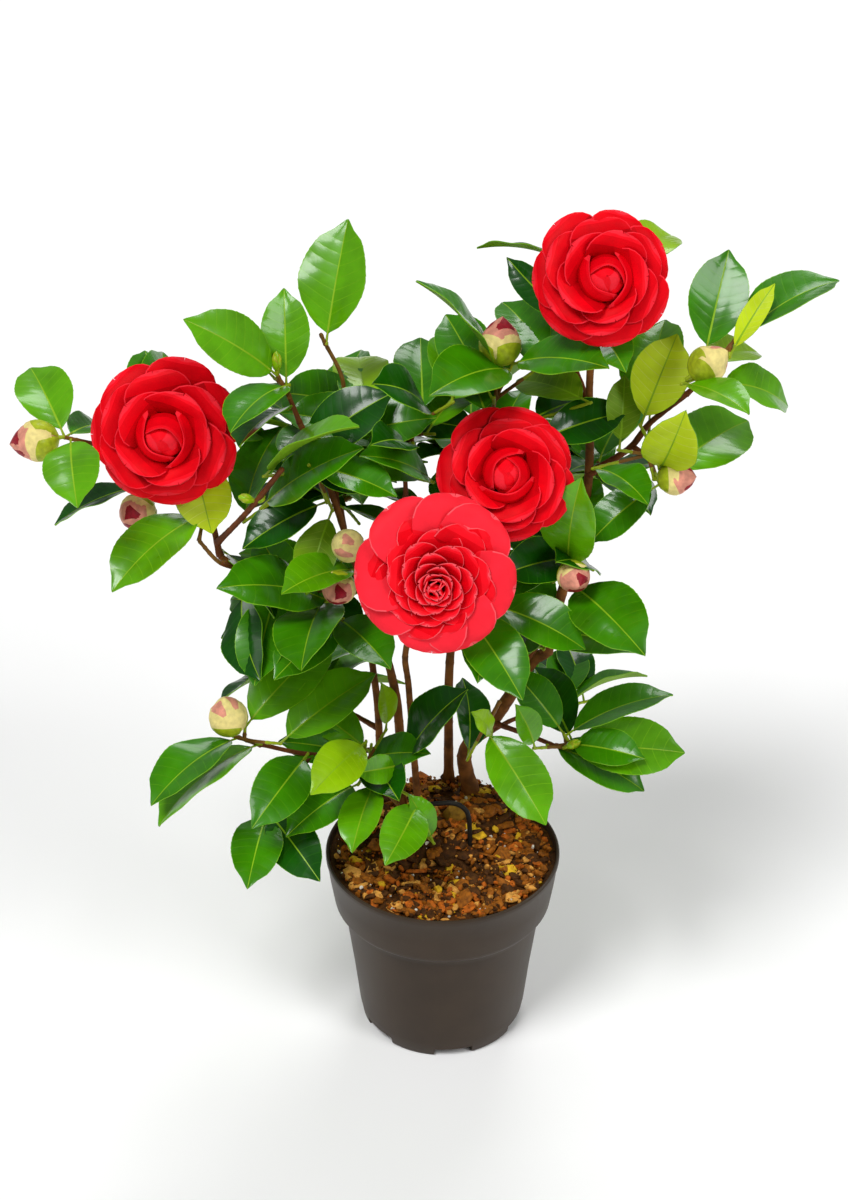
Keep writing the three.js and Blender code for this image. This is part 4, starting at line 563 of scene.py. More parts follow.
class Growth:
    """All that is grown so far, with a test by spots of whether there is room for one more leaf."""

    def __init__(self):
        self.limbs = {}
        for limb in LIMBS:
            path = [point(*p) if len(p) == 3 else point(*p, ground_height(*p)) for p in limb["path"]]
            self.limbs[limb["name"]] = dict(limb, path=path)
        self.twigs = []
        self.buds = []
        self.leaves = []
        self.samples = np.zeros((0, 3))
        self.shares = np.zeros(0)
        self.owners = np.zeros(0, "U40")
        for mass in MASSES:
            self.grow_stems(mass)
        for piece in BARE_BUDS:
            self.add_bud(piece["mass"], self.root_of(piece), *piece["bud"], ripe=0.0)
        for mass in MASSES:
            self.grow_shoots(mass)
        for mass in MASSES:
            self.grow_sprigs(mass)

    def root_of(self, piece):
        """Where a stem or stalk leaves its limb: at the tip, or at a share of the limb's length."""
        path = self.limbs[piece["grows_from"]]["path"]
        return on_path(path, piece["at"]) if "at" in piece else path[-1].copy()

    def stem_of(self, mass):
        return [self.root_of(mass), *[point(*p) for p in mass["stem"]]]

    def grow_stems(self, mass):
        """A mass's stem, the twigs of its shoots and their buds."""
        path = self.stem_of(mass)
        self.twigs.append(dict(mass=mass["name"], path=path, **STEM, woody=True))
        for shoot in mass["shoots"]:
            root = on_path(path, shoot.get("at", 1))
            tip = point(*shoot["tip"]) if "tip" in shoot else path[-1].copy()
            if np.linalg.norm(tip - root) > SHORTEST_TWIG:
                self.twigs.append(dict(mass=mass["name"], path=[root, tip], **TWIG, woody=False))
            if "bud" in shoot:
                self.add_bud(mass["name"], tip, *shoot["bud"], ripe=shoot.get("ripe", 0.5))

    def add_bud(self, mass, root, heading, rise, length, ripe):
        axis = direction(heading, rise)
        self.buds.append(dict(mass=mass, foot=root + axis * 3, root=root, axis=axis, length=length,
                              ripe=ripe))

    def blocked(self, blade, mass, shoot, near):
        """Whether a spot of a leaf comes too near the pot, a bloom, a limb, a twig, a bud or a leaf.

        Only the spots are tested, on a flat edge, so two blades may still cross between them.
        """
        s = SAMPLES[:, 0]
        out = SAMPLES[:, 1] * leaf_width(s, sizes().leaf_spread * blade["broad"]) * blade["length"]
        spots = blade_points(blade, s, out, np.zeros(len(s)))
        flat = np.hypot(spots[:, 0], spots[:, 1])
        mound = np.array([ground_height(x, y) for x, y, _ in spots])
        at_rim = (flat < RIM_ROOM["radius"]) & (spots[:, 2] < RIM_ROOM["height"])
        at_mulch = (flat < MULCH_ROOM["radius"]) & (spots[:, 2] < mound + MULCH_ROOM["gap"])
        if np.any(at_rim | at_mulch):
            return True, spots
        if any(np.any(in_bloom(bloom, spots)) for bloom in BLOOMS):
            return True, spots
        free = spots[s >= NEAR_ROOT]
        for limb in self.limbs.values():
            for a, b in zip(limb["path"], limb["path"][1:]):
                if np.min(to_segment(free, a, b)) < limb["radii"][0] + CLEAR["limb"]:
                    return True, spots
        for twig in self.twigs:
            own = twig["mass"] == mass
            for a, b in zip(twig["path"], twig["path"][1:]):
                reach = twig["base"] + (CLEAR["twig"] if own else CLEAR["other_twig"])
                if np.min(to_segment(free, a, b)) < reach:
                    return True, spots
        for bud in self.buds:
            centre = bud["foot"] + bud["axis"] * bud["length"] * 0.5
            if np.min(np.linalg.norm(free - centre, axis=1)) < bud["length"] * 0.4 + CLEAR["bud"]:
                return True, spots
        if len(self.samples):
            gaps = np.linalg.norm(spots[:, None] - self.samples[None], axis=2)
            same = self.owners == f"{mass} {shoot}"
            nearer = np.minimum(s[:, None], self.shares[None])
            at_root = (nearer < NEAR_ROOT) | (same[None] & (nearer < NEAR_ROOT_OWN))
            if np.any((gaps < near) & ~at_root):
                return True, spots
        return False, spots

    def place(self, spec, mass, shoot, near, always=False):
        """Puts a leaf at its set heading, or turned a little where that is taken.

        A leaf that finds no room is left out, or stays in its set place if it's `always` to grow.
        """
        for turn in TURNS:
            turned = dict(spec, heading=spec["heading"] + turn, rise=spec["rise"] + turn / 3)
            blade = leaf_blade(**turned)
            taken, spots = self.blocked(blade, mass, shoot, near)
            if not taken:
                break
        else:
            if not always:
                return False
            blade = leaf_blade(**spec)
            _, spots = self.blocked(blade, mass, shoot, near)
            if any(np.mean(in_bloom(bloom, spots)) > IN_BLOOM for bloom in BLOOMS):
                return False
        self.samples = np.vstack([self.samples, spots])
        self.owners = np.append(self.owners, [f"{mass} {shoot}"] * len(spots))
        self.shares = np.append(self.shares, SAMPLES[:, 0])
        self.leaves.append(dict(blade, mass=mass))
        return True

    def grow_shoots(self, mass):
        """The leaves that the table gives to each shoot, in a fan down from its tip."""
        rng = seeded(mass["seed"])
        looks = seeded(mass["seed"] + 500)
        path = self.stem_of(mass)
        for number, shoot in enumerate(mass["shoots"]):
            root = on_path(path, shoot.get("at", 1))
            tip = point(*shoot["tip"]) if "tip" in shoot else path[-1].copy()
            bare = np.linalg.norm(tip - root) <= SHORTEST_TWIG
            back = unit(path[-2] - path[-1] if bare else root - tip)
            run = max(np.linalg.norm(tip - root), 12)
            count, heading, turn, rise, lift, length = shoot.get("fan", NO_LEAVES)
            for k in range(count):
                spec = dict(
                    node=tip + back * min(FIRST_LEAF + LEAF_STEP * k, 0.8 * run),
                    heading=heading + k * turn + rng(-3, 3),
                    rise=rise + k * lift + rng(-3, 3),
                    length=length * rng(0.95, 1.05),
                    arch=shoot.get("arch", LEAF_ARCH) + rng(0, 12),
                    roll=shoot.get("roll", 0) + rng(-8, 8),
                    fold=LEAF_FOLD + rng(0, 8),
                    facing=point(*mass.get("facing", FRONT)),
                    broad=shoot.get("broad", 1.0),
                    **leaf_looks(looks, shoot.get("tone", "outer")),
                )
                self.place(spec, mass["name"], number, CLEAR["placed"], always=True)

    def grow_sprigs(self, mass):
        """Short twigs off the stem, each with two to four leaves a golden turn apart."""
        if "space" not in mass:
            return
        low, high = (point(*corner) for corner in mass["space"])
        path = self.stem_of(mass)
        for i in range(mass["sprigs"] + sizes().finer_sprigs):
            rng = seeded(mass["seed"] * 100 + i)
            looks = seeded(mass["seed"] * 100 + i + 50000)
            root = on_path(path, rng(0.15, 1))
            heading = rng(0, 360)
            tip = root + direction(heading, rng(*SPRIG["rise"])) * rng(*SPRIG["length"])
            count = int(rng(*SPRIG["leaves"]))
            specs = []
            for k in range(count):
                share = min(0.7, (FIRST_LEAF + LEAF_STEP * k) / np.linalg.norm(tip - root))
                # Sprig leaves fill the inside of the crown and take the `inner` greens, mostly the deep
                # one with its painted shade.
                specs.append(dict(
                    node=tip + (root - tip) * share,
                    heading=heading - 60 + LEAF_TURN * k + rng(-10, 10),
                    rise=rng(*SPRIG["leaf_rise"]),
                    length=rng(*SPRIG["leaf_length"]),
                    arch=LEAF_ARCH + rng(0, 12),
                    roll=rng(-12, 12),
                    fold=LEAF_FOLD + rng(0, 8),
                    facing=point(*mass.get("facing", FRONT)),
                    broad=1.0,
                    **leaf_looks(looks, "inner"),
                ))
            inside = np.all(tip > low) and np.all(tip < high)
            if not inside or any(np.any(in_bloom(bloom, tip[None])) for bloom in BLOOMS):
                continue
            held = 0
            for spec in specs:
                blade = leaf_blade(**spec)
                end = blade_points(blade, np.array([1.0]), np.zeros(1), np.zeros(1))[0]
                if np.all(end > low - SPRIG["past"]) and np.all(end < high + SPRIG["past"]):
                    held += self.place(spec, mass["name"], 100 + i, CLEAR["grown"])
            if held:
                self.twigs.append(dict(mass=mass["name"], path=[root, tip], **TWIG, woody=False))


def leaf_looks(rng, tone):
    """What sets one leaf apart from the next: its green, its twist and the wave of its edge."""
    drawn, shares = rng(), np.cumsum(TONES[tone])
    return dict(tone=int(np.searchsorted(shares, drawn * shares[-1])), twist=math.radians(rng(-14, 14)),
                wave=rng(0.2, 1.6), phase=rng(0, 6.3), curl=rng(0.02, 0.12))


def to_segment(spots, a, b):
    """How far each spot is from a straight run."""
    run = b - a
    t = np.clip((spots - a) @ run / (run @ run), 0, 1)
    return np.linalg.norm(spots - a - t[:, None] * run, axis=1)


def in_bloom(bloom, spots):
    """Which spots lie in the flat egg that a bloom fills."""
    axis = direction(*bloom["facing"])
    v = spots - point(*bloom["centre"])
    along = v @ axis
    out = np.sqrt(np.maximum(0, (v**2).sum(axis=1) - along**2))
    depth = np.where(along > 0, BLOOM_FRONT, BLOOM_BACK) * bloom["radius"]
    return (out / (bloom["radius"] + BLOOM_ROOM)) ** 2 + (along / (depth + BLOOM_ROOM)) ** 2 < 1


# ---- making meshes ---------------------------------------------------------------------------------
class Pile:
    """Sheets and tubes that are joined into one mesh, in millimetres, with a finish per face."""

    def __init__(self, finishes):
        self.finishes = list(finishes)
        self.points = []
        self.faces = []
        self.kinds = []
        self.count = 0

    def add(self, points, faces, kinds):
        points = np.asarray(points, float).reshape(-1, 3)
        self.points.append(points)
        self.faces.append(np.asarray(faces, int) + self.count)
        self.kinds.append(np.broadcast_to(np.asarray(kinds, int), len(faces)))
        self.count += len(points)

    def piece(self, name, slot, nodes, sharp=None):
        """The joined mesh as a piece that rides with the plant and stands for some solids."""
        mesh = bpy.data.meshes.new(name)
        faces = [face for block in self.faces for face in block.tolist()]
        mesh.from_pydata(np.vstack(self.points) * MM, [], faces)
        for key in self.finishes:
            mesh.materials.append(finish(key))
        mesh.polygons.foreach_set("material_index", np.concatenate(self.kinds).astype(np.int32))
        mesh.polygons.foreach_set("use_smooth", np.ones(len(mesh.polygons), bool))
        if sharp is not None:
            mesh.set_sharp_from_angle(angle=math.radians(sharp))
        mesh.update()
        made = bpy.data.objects.new(name, mesh)
        bpy.context.scene.collection.objects.link(made)
        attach(made, "root")
        if nodes:
            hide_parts(*nodes)
        return made


def grid_faces(rows, columns, around=False):
    """Four-sided faces between the points of a grid, closed round its columns if asked."""
    wide = columns if around else columns - 1
    r, c = np.meshgrid(np.arange(rows - 1), np.arange(wide), indexing="ij")
    n = (c + 1) % columns
    return np.stack([r * columns + c, r * columns + n, (r + 1) * columns + n, (r + 1) * columns + c],
                    axis=-1).reshape(-1, 4)


def add_shell(pile, top, bottom, top_kinds, bottom_kinds, rim_kind):
    """A thin closed leaf or petal from its upper and lower grids, which share their outer rows."""
    rows, wide = top.shape[:2]
    low = bottom.shape[1]
    start = rows * wide
    faces = [grid_faces(rows, wide), grid_faces(rows, low)[:, ::-1] + start]
    kinds = [top_kinds, bottom_kinds]
    r = np.arange(rows - 1)
    for here, there, flip in ((0, 0, False), (wide - 1, low - 1, True)):
        rim = np.stack([r * wide + here, (r + 1) * wide + here,
                        start + (r + 1) * low + there, start + r * low + there], axis=-1)
        faces.append(rim[:, ::-1] if flip else rim)
        kinds.append(np.full(rows - 1, rim_kind))
    pile.add(np.vstack([top.reshape(-1, 3), bottom.reshape(-1, 3)]), np.vstack(faces),
             np.concatenate(kinds))


def frames_along(path):
    """Two axes square to a path at each of its points, turned as little as possible."""
    tangents = np.gradient(path, axis=0)
    tangents /= np.linalg.norm(tangents, axis=1)[:, None]
    first = point(0, 0, 1) if abs(tangents[0][2]) < 0.9 else point(1, 0, 0)
    across = unit(first - tangents[0] * first.dot(tangents[0]))
    sides = []
    for tangent in tangents:
        across = unit(across - tangent * across.dot(tangent))
        sides.append(across)
    sides = np.array(sides)
    return sides, np.cross(tangents, sides)


def add_tube(pile, path, radii, sides, kinds, relief=0.0, grain=14.0):
    """A round limb with closed ends.

    `relief` is the depth of its bark as a share of the radius, `grain` the length of its ridges.
    """
    path, radii = np.asarray(path, float), np.asarray(radii, float)
    one, two = frames_along(path)
    turn = np.linspace(0, 2 * np.pi, sides, endpoint=False)
    ring = np.cos(turn)[None, :, None] * one[:, None] + np.sin(turn)[None, :, None] * two[:, None]
    wide = np.repeat(radii[:, None], sides, axis=1)
    if relief:
        for i, j in np.ndindex(wide.shape):
            spot = path[i] + ring[i, j] * wide[i, j]
            ridge = noise.noise(Vector((spot[0] / 2.2, spot[1] / 2.2, spot[2] / grain)))
            wide[i, j] *= 1 + relief * ridge
    skin = path[:, None] + ring * wide[..., None]
    lead = path[0] - unit(path[1] - path[0]) * radii[0] * 0.5
    trail = path[-1] + unit(path[-1] - path[-2]) * radii[-1] * 0.6
    points = np.vstack([np.broadcast_to(lead, (1, sides, 3)), skin,
                        np.broadcast_to(trail, (1, sides, 3))])
    faces = grid_faces(len(points), sides, around=True)
    pile.add(points, faces, kinds)


# ---- one leaf --------------------------------------------------------------------------------------
VEINS = 8  # side veins on each half of a leaf
# Points across the upper and lower faces as shares of the half width, close together at the midrib.
LEAF_COLUMNS = np.array([-1, -0.972, -0.68, -0.36, -0.001, 0.001, 0.36, 0.68, 0.972, 1])
UNDER_COLUMNS = np.array([-1, -0.5, -0.001, 0.001, 0.5, 1])
# The deep and bright greens and their veins carry painted shade and painted light; the pale and olive
# ones are a lower face with painted light and with painted shade.
LEAF_FINISHES = ["leaf_deep_with_painted_shade", "leaf_mid", "leaf_bright_with_painted_light", "leaf_fresh", "leaf_pale", "leaf_olive",
                 "vein_deep", "vein_mid", "vein_bright", "vein_fresh", "vein_pale", "vein_olive",
                 "leaf_under", "leaf_midrib", "leaf_edge", "leaf_stalk"]


def leaf_rows():
    """Shares of the length at which a leaf has rows, and how far each is pressed in or raised."""
    rows = [(0.0, 0.0), (0.025, 0.0)]
    for k in range(VEINS):
        s = 0.055 + 0.105 * k
        rows += [(s, -1.0), (s + 0.0065, -1.0), (s + 0.056, 1.0)]
    rows += [(0.925, 0.3), (0.965, 0.0), (0.988, 0.0), (1.0, 0.0)]
    return np.array(rows)


LEAF_ROWS = leaf_rows()


def add_leaf(pile, leaf):
    """One leaf: stalk, quilted glossy upper face with sunken veins, matte lower face, thin edge."""
    spread = sizes().leaf_spread * leaf["broad"]
    rows, press = LEAF_ROWS[:, 0], LEAF_ROWS[:, 1]

    def face(columns, lift):
        """One face of the blade, its rows slanted forward as the side veins are, its rim toothed."""
        t = np.abs(columns)[None]
        slant = 0.19 * np.clip(rows / 0.14, 0, 1) * (1 - rows) ** 0.7
        s = rows[:, None] + slant[:, None] * t**1.25
        half = np.maximum(leaf_width(s, spread) * leaf["length"], 0.32)
        wave = leaf["wave"] * np.sin(13 * s + leaf["phase"] + 1.5 * np.sign(columns)[None]) * t**2
        wave = wave * np.sin(np.pi * np.clip(s, 0, 1))
        tooth = np.where(np.arange(len(rows)) % 2 == 0, 1.0, 0.985)[:, None]
        out = columns[None] * half * np.where(t > 0.99, tooth, 1.0)
        out = np.where(t < 0.01, np.sign(columns)[None] * (0.75 - 0.5 * s), out)
        return blade_points(leaf, s, out, wave - leaf["curl"] * half * t**2 + lift(t))

    thick = sizes().leaf_thickness / MM
    quilt = 0.22 * press[:, None]
    top = face(LEAF_COLUMNS, lambda t: thick / 2 + quilt * np.sin(np.pi * t**0.8) - 0.35 * (t < 0.1))
    low = face(UNDER_COLUMNS, lambda t: np.where(t < 0.1, -1.0, -thick / 2) + 0 * quilt)
    strips, gaps = len(LEAF_COLUMNS) - 1, len(rows) - 1
    tops = np.full((gaps, strips), leaf["tone"])
    tops[np.diff(rows) < 0.01] = leaf["tone"] + LEAF_FINISHES.index("vein_deep")
    tops[:, strips // 2] = LEAF_FINISHES.index("leaf_midrib")
    tops[:, [0, -1]] = LEAF_FINISHES.index("leaf_edge")
    lows = np.full((gaps, len(UNDER_COLUMNS) - 1), LEAF_FINISHES.index("leaf_under"))
    lows[:, len(UNDER_COLUMNS) // 2 - 1] = LEAF_FINISHES.index("leaf_midrib")
    add_shell(pile, top, low, tops.ravel(), lows.ravel(), LEAF_FINISHES.index("leaf_edge"))
    start = blade_start(leaf)
    lead = blade_points(leaf, np.array([0.05]), np.zeros(1), np.array([-0.5]))[0]
    stalk = [leaf["node"] - start * 0.8, leaf["node"] + start * leaf["stalk"] * 0.5,
             leaf["node"] + start * (leaf["stalk"] + 0.8), lead]
    stalk = smooth_path(stalk, 2.2)
    add_tube(pile, stalk, np.linspace(1.05, 0.6, len(stalk)), 6, LEAF_FINISHES.index("leaf_stalk"))


# ---- one bloom -------------------------------------------------------------------------------------
# Points along a petal and across its half width, closest at the rim, where it rolls back.
PETAL_ROWS = np.array([0, 0.08, 0.2, 0.34, 0.48, 0.61, 0.73, 0.83, 0.905, 0.955, 0.985, 1.0])
PETAL_COLUMNS = np.array([-1, -0.965, -0.74, -0.46, -0.15, 0.15, 0.46, 0.74, 0.965, 1])
# The first five go from painted shade at the foot of a petal, through its red, to painted light at
# its end; the sixth is a painted highlight along the rim.
PETAL_FINISHES = ["petal_deep", "petal_shade", "petal_main", "petal_bright", "petal_light",
                  "petal_edge", "petal_back", "bud_green", "bark_young"]
LARGE_PETAL = 42  # length from which a petal has the full twist, ripple and rolled rim
# Rows up the height of a flap in the heart of a cupped bloom, closest at its rim.
FLAP_ROWS = [0, 0.12, 0.26, 0.4, 0.54, 0.67, 0.78, 0.87, 0.93, 0.965, 0.985, 1.0]


def add_petal(pile, root, tip, axis, rng, arch, cup, spread, tilt, pale, rim):
    """One cupped petal from its root to its tip, rounded at the end, with a painted highlight on its
    rim.

    `pale` is 1 for a petal that has painted light almost from its foot; below a half its foot has the
    deepest painted shade.
    """
    span = tip - root
    length = np.linalg.norm(span) * 1.02
    along = unit(span)
    up = unit(axis - along * axis.dot(along))
    up = up * math.cos(tilt) + np.cross(along, up) * math.sin(tilt)
    small = min(1, length / LARGE_PETAL)
    blade = dict(node=root, along=along, up=up, side=np.cross(along, up), length=length,
                 arch=math.radians(arch if abs(arch) > 1 else 1), fold=0.0, stalk=0.0,
                 twist=math.radians(rng(-7, 7) * small))
    s, t = np.meshgrid(PETAL_ROWS, PETAL_COLUMNS, indexing="ij")
    half = np.maximum(petal_width(s, spread) * length, 0.5)
    ripple = small * rng(0.3, 1.0) * np.sin(8 * s + rng(0, 6.3)) * t * np.abs(t) * s
    roll = -small * (1.5 * np.clip((np.abs(t) - 0.7) / 0.3, 0, 1) ** 2 * s
                     + 2.2 * np.clip((s - 0.84) / 0.16, 0, 1) ** 2)
    notch = 1 - 0.035 * np.clip((s - 0.9) / 0.1, 0, 1) * (np.abs(t) < 0.2)
    lift = cup * half * 2 * t**2 + ripple + roll + 0.03 * length * np.sin(np.pi * s)
    thick = sizes().petal_thickness / MM
    top = blade_points(blade, s * notch, t * half, lift + thick / 2)
    low = blade_points(blade, s * notch, t * half, lift - thick / 2)
    gaps, strips = len(PETAL_ROWS) - 1, len(PETAL_COLUMNS) - 1
    # Painted shade at the foot, where the petal goes under its neighbours, its own red in the middle,
    # painted light toward the end and a painted highlight on the rim.
    deep, shade, main, bright, light = range(5)
    edge = PETAL_FINISHES.index(rim)
    ramp = [deep] * 3 + [shade] * 2 + [main] * 2 + [bright] * 2 + [light, edge]
    if pale >= 1:
        ramp = [shade, main, bright, bright] + [light] * 6 + [edge]
    elif pale < 0.5:
        ramp = [deep] * 4 + [shade] * 2 + [main] * 2 + [bright, light, edge]
    tops = np.repeat(np.array(ramp)[:, None], strips, axis=1)
    # The sides of the outer half get the painted rim highlight too.
    tops[5:, [0, -1]] = edge
    lows = np.full((gaps, strips), PETAL_FINISHES.index("petal_back"))
    add_shell(pile, top, low, tops.ravel(), lows.ravel(), edge)


def bloom_axes(bloom):
    """The way that a bloom faces and two axes square to it, the second one upward."""
    axis = direction(*bloom["facing"])
    side = unit(np.cross(axis, point(0, 0, 1)))
    return axis, side, np.cross(side, axis)


def add_bloom(pile, bloom, root):
    """A double bloom: stalk, green sepals, then petals in rows or in one tight spiral."""
    axis, side, other = bloom_axes(bloom)
    centre, radius = point(*bloom["centre"]), bloom["radius"]
    rng = seeded(int(round(radius * 10)))

    def petal(turn, row, loose, pale=0.0):
        """`loose` is how far a petal may stray from its row, as a share of the radius."""
        out = side * math.cos(turn) + other * math.sin(turn)
        middle = centre - other * row.get("slip", 0) * radius
        foot = middle + axis * row["foot"] * radius + out * 0.06 * radius
        tip = middle + axis * (row["height"] + rng(-loose, loose)) * radius
        tip = tip + out * (row["reach"] - rng(0, 1.6 * loose)) * radius
        tilt = math.radians(row["tilt"] + rng(-90, 90) * loose)
        # The rim gets a painted highlight, the pinker one on the formal bloom.
        rim = "petal_edge" if bloom["formal"] else "petal_light"
        add_petal(pile, foot, tip, axis, rng, row["arch"] + rng(-160, 160) * loose, row["cup"],
                  row["spread"] * rng(0.94, 1.06), tilt, pale, rim)

    if bloom["formal"]:
        for i in range(FORMAL_PETALS):
            u = max(0, i + 1 - FORMAL_OUTER) / (FORMAL_PETALS - FORMAL_OUTER)
            row = dict(reach=0.94 - 0.9 * u**0.82 if u else 1.07, height=-0.12 + 0.4 * u**0.6,
                       foot=-0.3 + 0.2 * u, arch=64 - 72 * u**0.5, cup=0.03 + 0.15 * u,
                       spread=0.9 - 0.3 * u**1.5, tilt=7 - 3 * u, slip=0.16 * u**0.7)
            # Outer petals have painted light from the foot up; the inner two thirds have the deepest
            # painted shade at the foot.
            petal(math.radians(PETAL_TURN * i) + rng(-0.05, 0.05), row, 0.015, pale=1 - 1.6 * u)
        # The last petals close over a small bud, a little below the middle.
        heart = centre + (axis * 0.06 - other * 0.16) * radius
        # Its scales are red with painted light at their ends.
        add_wrapped_egg(pile, heart, axis, 0.2 * radius, 0.06 * radius, rng,
                        [("petal_main", "petal_light")], wraps=3, half=1.3, step=0.7)
    else:
        for w, row in enumerate(CUPPED_ROWS):
            for i in range(row["count"]):
                turn = (i + 0.5 * (w % 2)) / row["count"] * 2 * math.pi + rng(-0.12, 0.12) + w
                # Every cupped petal has the deepest painted shade at its foot and painted light at its
                # end.
                petal(turn, row, 0.05, pale=0.3)
        add_heart(pile, bloom, rng)
    foot = centre - axis * 0.36 * radius
    add_wrapped_egg(pile, foot - axis * 3, axis, 0.3 * radius, 0.17 * radius, rng,
                    [("bud_green", "bud_green")] * 2, wraps=6, half=0.8, step=0.7)
    stalk = smooth_path([root, *[point(*p) for p in bloom["stalk"]], foot], 4)
    add_tube(pile, stalk, np.linspace(1.7, 2.4, len(stalk)), 10, PETAL_FINISHES.index("bark_young"))


def add_heart(pile, bloom, rng):
    """The closed middle of a cupped bloom: flaps that lean in and wrap round one another."""
    axis, side, other = bloom_axes(bloom)
    radius = bloom["radius"]
    foot = point(*bloom["centre"]) - axis * 0.1 * radius
    first = rng(0, 6.3)
    rise, t = np.meshgrid(FLAP_ROWS, np.linspace(-1, 1, 15), indexing="ij")
    # Painted shade low in each flap, painted light toward its top and a painted highlight on its rim.
    kinds = np.full((len(FLAP_ROWS) - 1, 14), PETAL_FINISHES.index("petal_main"))
    kinds[:5] = PETAL_FINISHES.index("petal_shade")
    kinds[7:] = PETAL_FINISHES.index("petal_bright")
    kinds[9:] = PETAL_FINISHES.index("petal_light")
    kinds[:, [0, -1]] = PETAL_FINISHES.index("petal_light")
    for k in range(HEART_FLAPS):
        u = k / (HEART_FLAPS - 1)
        wide = (0.43 - 0.1 * u) * radius
        high = rise * (1 - 0.3 * np.abs(t) ** 2.6)
        out = wide * (0.55 + 0.45 * np.sin(np.clip(high / 0.62, 0, 1) * np.pi / 2) + 0.07 * t)
        out = out - wide * (0.32 + 0.2 * u) * ease((high - 0.5) / 0.5) + 0.5 * ease((rise - 0.9) / 0.1)
        turn = first + 2.4 * k + (1.3 + 0.5 * u) * t
        thick = sizes().petal_thickness / MM * np.clip(rise / 0.1, 0, 1)
        thick = thick * np.clip((1 - rise) / 0.02, 0, 1)
        outer, inner = (foot + (high * (0.52 + 0.14 * u) * radius)[..., None] * axis
                        + (np.cos(turn) * far)[..., None] * side
                        + (np.sin(turn) * far)[..., None] * other for far in (out, out - thick))
        add_shell(pile, outer, inner, kinds.ravel(), kinds.ravel(), PETAL_FINISHES.index("petal_light"))
    # Its scales are red with painted light at their ends, more of it on the upper ones.
    add_wrapped_egg(pile, foot, axis, 0.68 * radius, 0.25 * radius, rng,
                    [("petal_main", "petal_bright"), ("petal_bright", "petal_light")],
                    wraps=5, half=1.25, step=2.4)


def add_wrapped_egg(pile, foot, axis, length, radius, rng, colours, wraps, half, step):
    """A pointed egg in overlapping scales: a bud, a calyx, or the closed heart of a bloom.

    Each pair of `colours` is a scale's own and that of its end, from the foot of the egg up. `half`
    is half the turn that a scale takes round the egg, in radians, `step` the height of the lowest.
    """
    side = unit(np.cross(axis, point(0.31, 0.2, 1)))
    other = np.cross(axis, side)

    def skin(turn, v, out):
        """A point on the egg: its turn round, its share of the length and how far out from the egg."""
        r = radius * np.abs(np.sin(np.pi * np.clip(v, 0.001, 0.999) ** 0.85)) ** 0.72 + out
        return (foot + (v * length)[..., None] * axis
                + (np.cos(turn) * r)[..., None] * side + (np.sin(turn) * r)[..., None] * other)

    around = np.linspace(0, 2 * np.pi, 16, endpoint=False)
    v, turn = np.meshgrid(np.linspace(0, 1, 11), around, indexing="ij")
    index = pile.finishes.index
    pile.add(skin(turn, v, -0.25 + 0 * v), grid_faces(11, 16, around=True), index(colours[-1][0]))
    share, t = np.meshgrid(np.linspace(0, 1, 8), np.linspace(-1, 1, 9), indexing="ij")
    tiers = len(colours)
    for k in range(wraps):
        tier = k * tiers // wraps
        middle = 2.4 * k + rng(-0.2, 0.2)
        low = 0.12 * tier
        high = min(0.985, 0.55 + 0.46 * (k + 1) / wraps)
        top = low + (high - low) * (1 - 0.42 * np.abs(t) ** 2.4)
        v = low + (top - low) * share
        edge = np.minimum(np.clip((1 - np.abs(t)) / 0.2, 0, 1), np.clip((1 - share) / 0.12, 0, 1))
        out = 0.25 + step * (wraps - k) / wraps * (0.35 + 0.65 * edge) * np.clip(share * 6, 0, 1)
        out = np.where((np.abs(t) > 0.99) | (share > 0.99), -0.3, out)
        kinds = np.full((7, 8), index(colours[tier][0]))
        kinds[5:] = index(colours[tier][1])
        pile.add(skin(middle + half * t, v, out), grid_faces(8, 9), kinds.ravel())


# ---- one bud ---------------------------------------------------------------------------------------
# How ripe a flower bud is when its scales have turned cream, and when its tip is red.
CREAM = 0.35
BLUSHED = 0.6


def add_bud(pile, bud):
    """A bud in overlapping scales: a slim green leaf bud, or a fat flower bud that colours upward."""
    rng = seeded(int(abs(bud["foot"][0] * 7 + bud["foot"][2] * 3)) + 5)
    flower = bud["length"] > FLOWER_BUD
    if not flower:
        scales = [("leaf_fresh", "bud_green")]
    elif bud["ripe"] > BLUSHED:
        scales = [("bud_green", "bud_cream"), ("bud_cream", "bud_blush"), ("bud_blush", "bud_tip")]
    elif bud["ripe"] > CREAM:
        scales = [("bud_green", "bud_cream"), ("bud_cream", "bud_cream"), ("bud_cream", "bud_blush")]
    else:
        scales = [("bud_green", "bud_green"), ("bud_green", "bud_cream"), ("bud_cream", "bud_cream")]
    start = bud["root"] - bud["axis"] * 1.0
    stalk = np.array([start, start + bud["axis"] * 3, bud["foot"] + bud["axis"] * 2])
    add_tube(pile, stalk, [1.3, 1.5, 2.0], 8, pile.finishes.index("shoot_green"))
    wide = 0.38 if flower else 0.2
    add_wrapped_egg(pile, bud["foot"] - bud["axis"], bud["axis"], bud["length"], wide * bud["length"],
                    rng, scales, wraps=8 if flower else 4, half=1.2, step=1.3 if flower else 0.6)


# ---- limbs, twigs and mulch ------------------------------------------------------------------------
ROOT_DEPTH = 14  # how far a main stem goes on down under the mulch
OLD_WOOD = 2.5  # radius at the base above which a limb has old bark


def along_run(path):
    """How far each point of a path is from its start, along it."""
    return np.concatenate([[0], np.cumsum(np.linalg.norm(np.diff(path, axis=0), axis=1))])


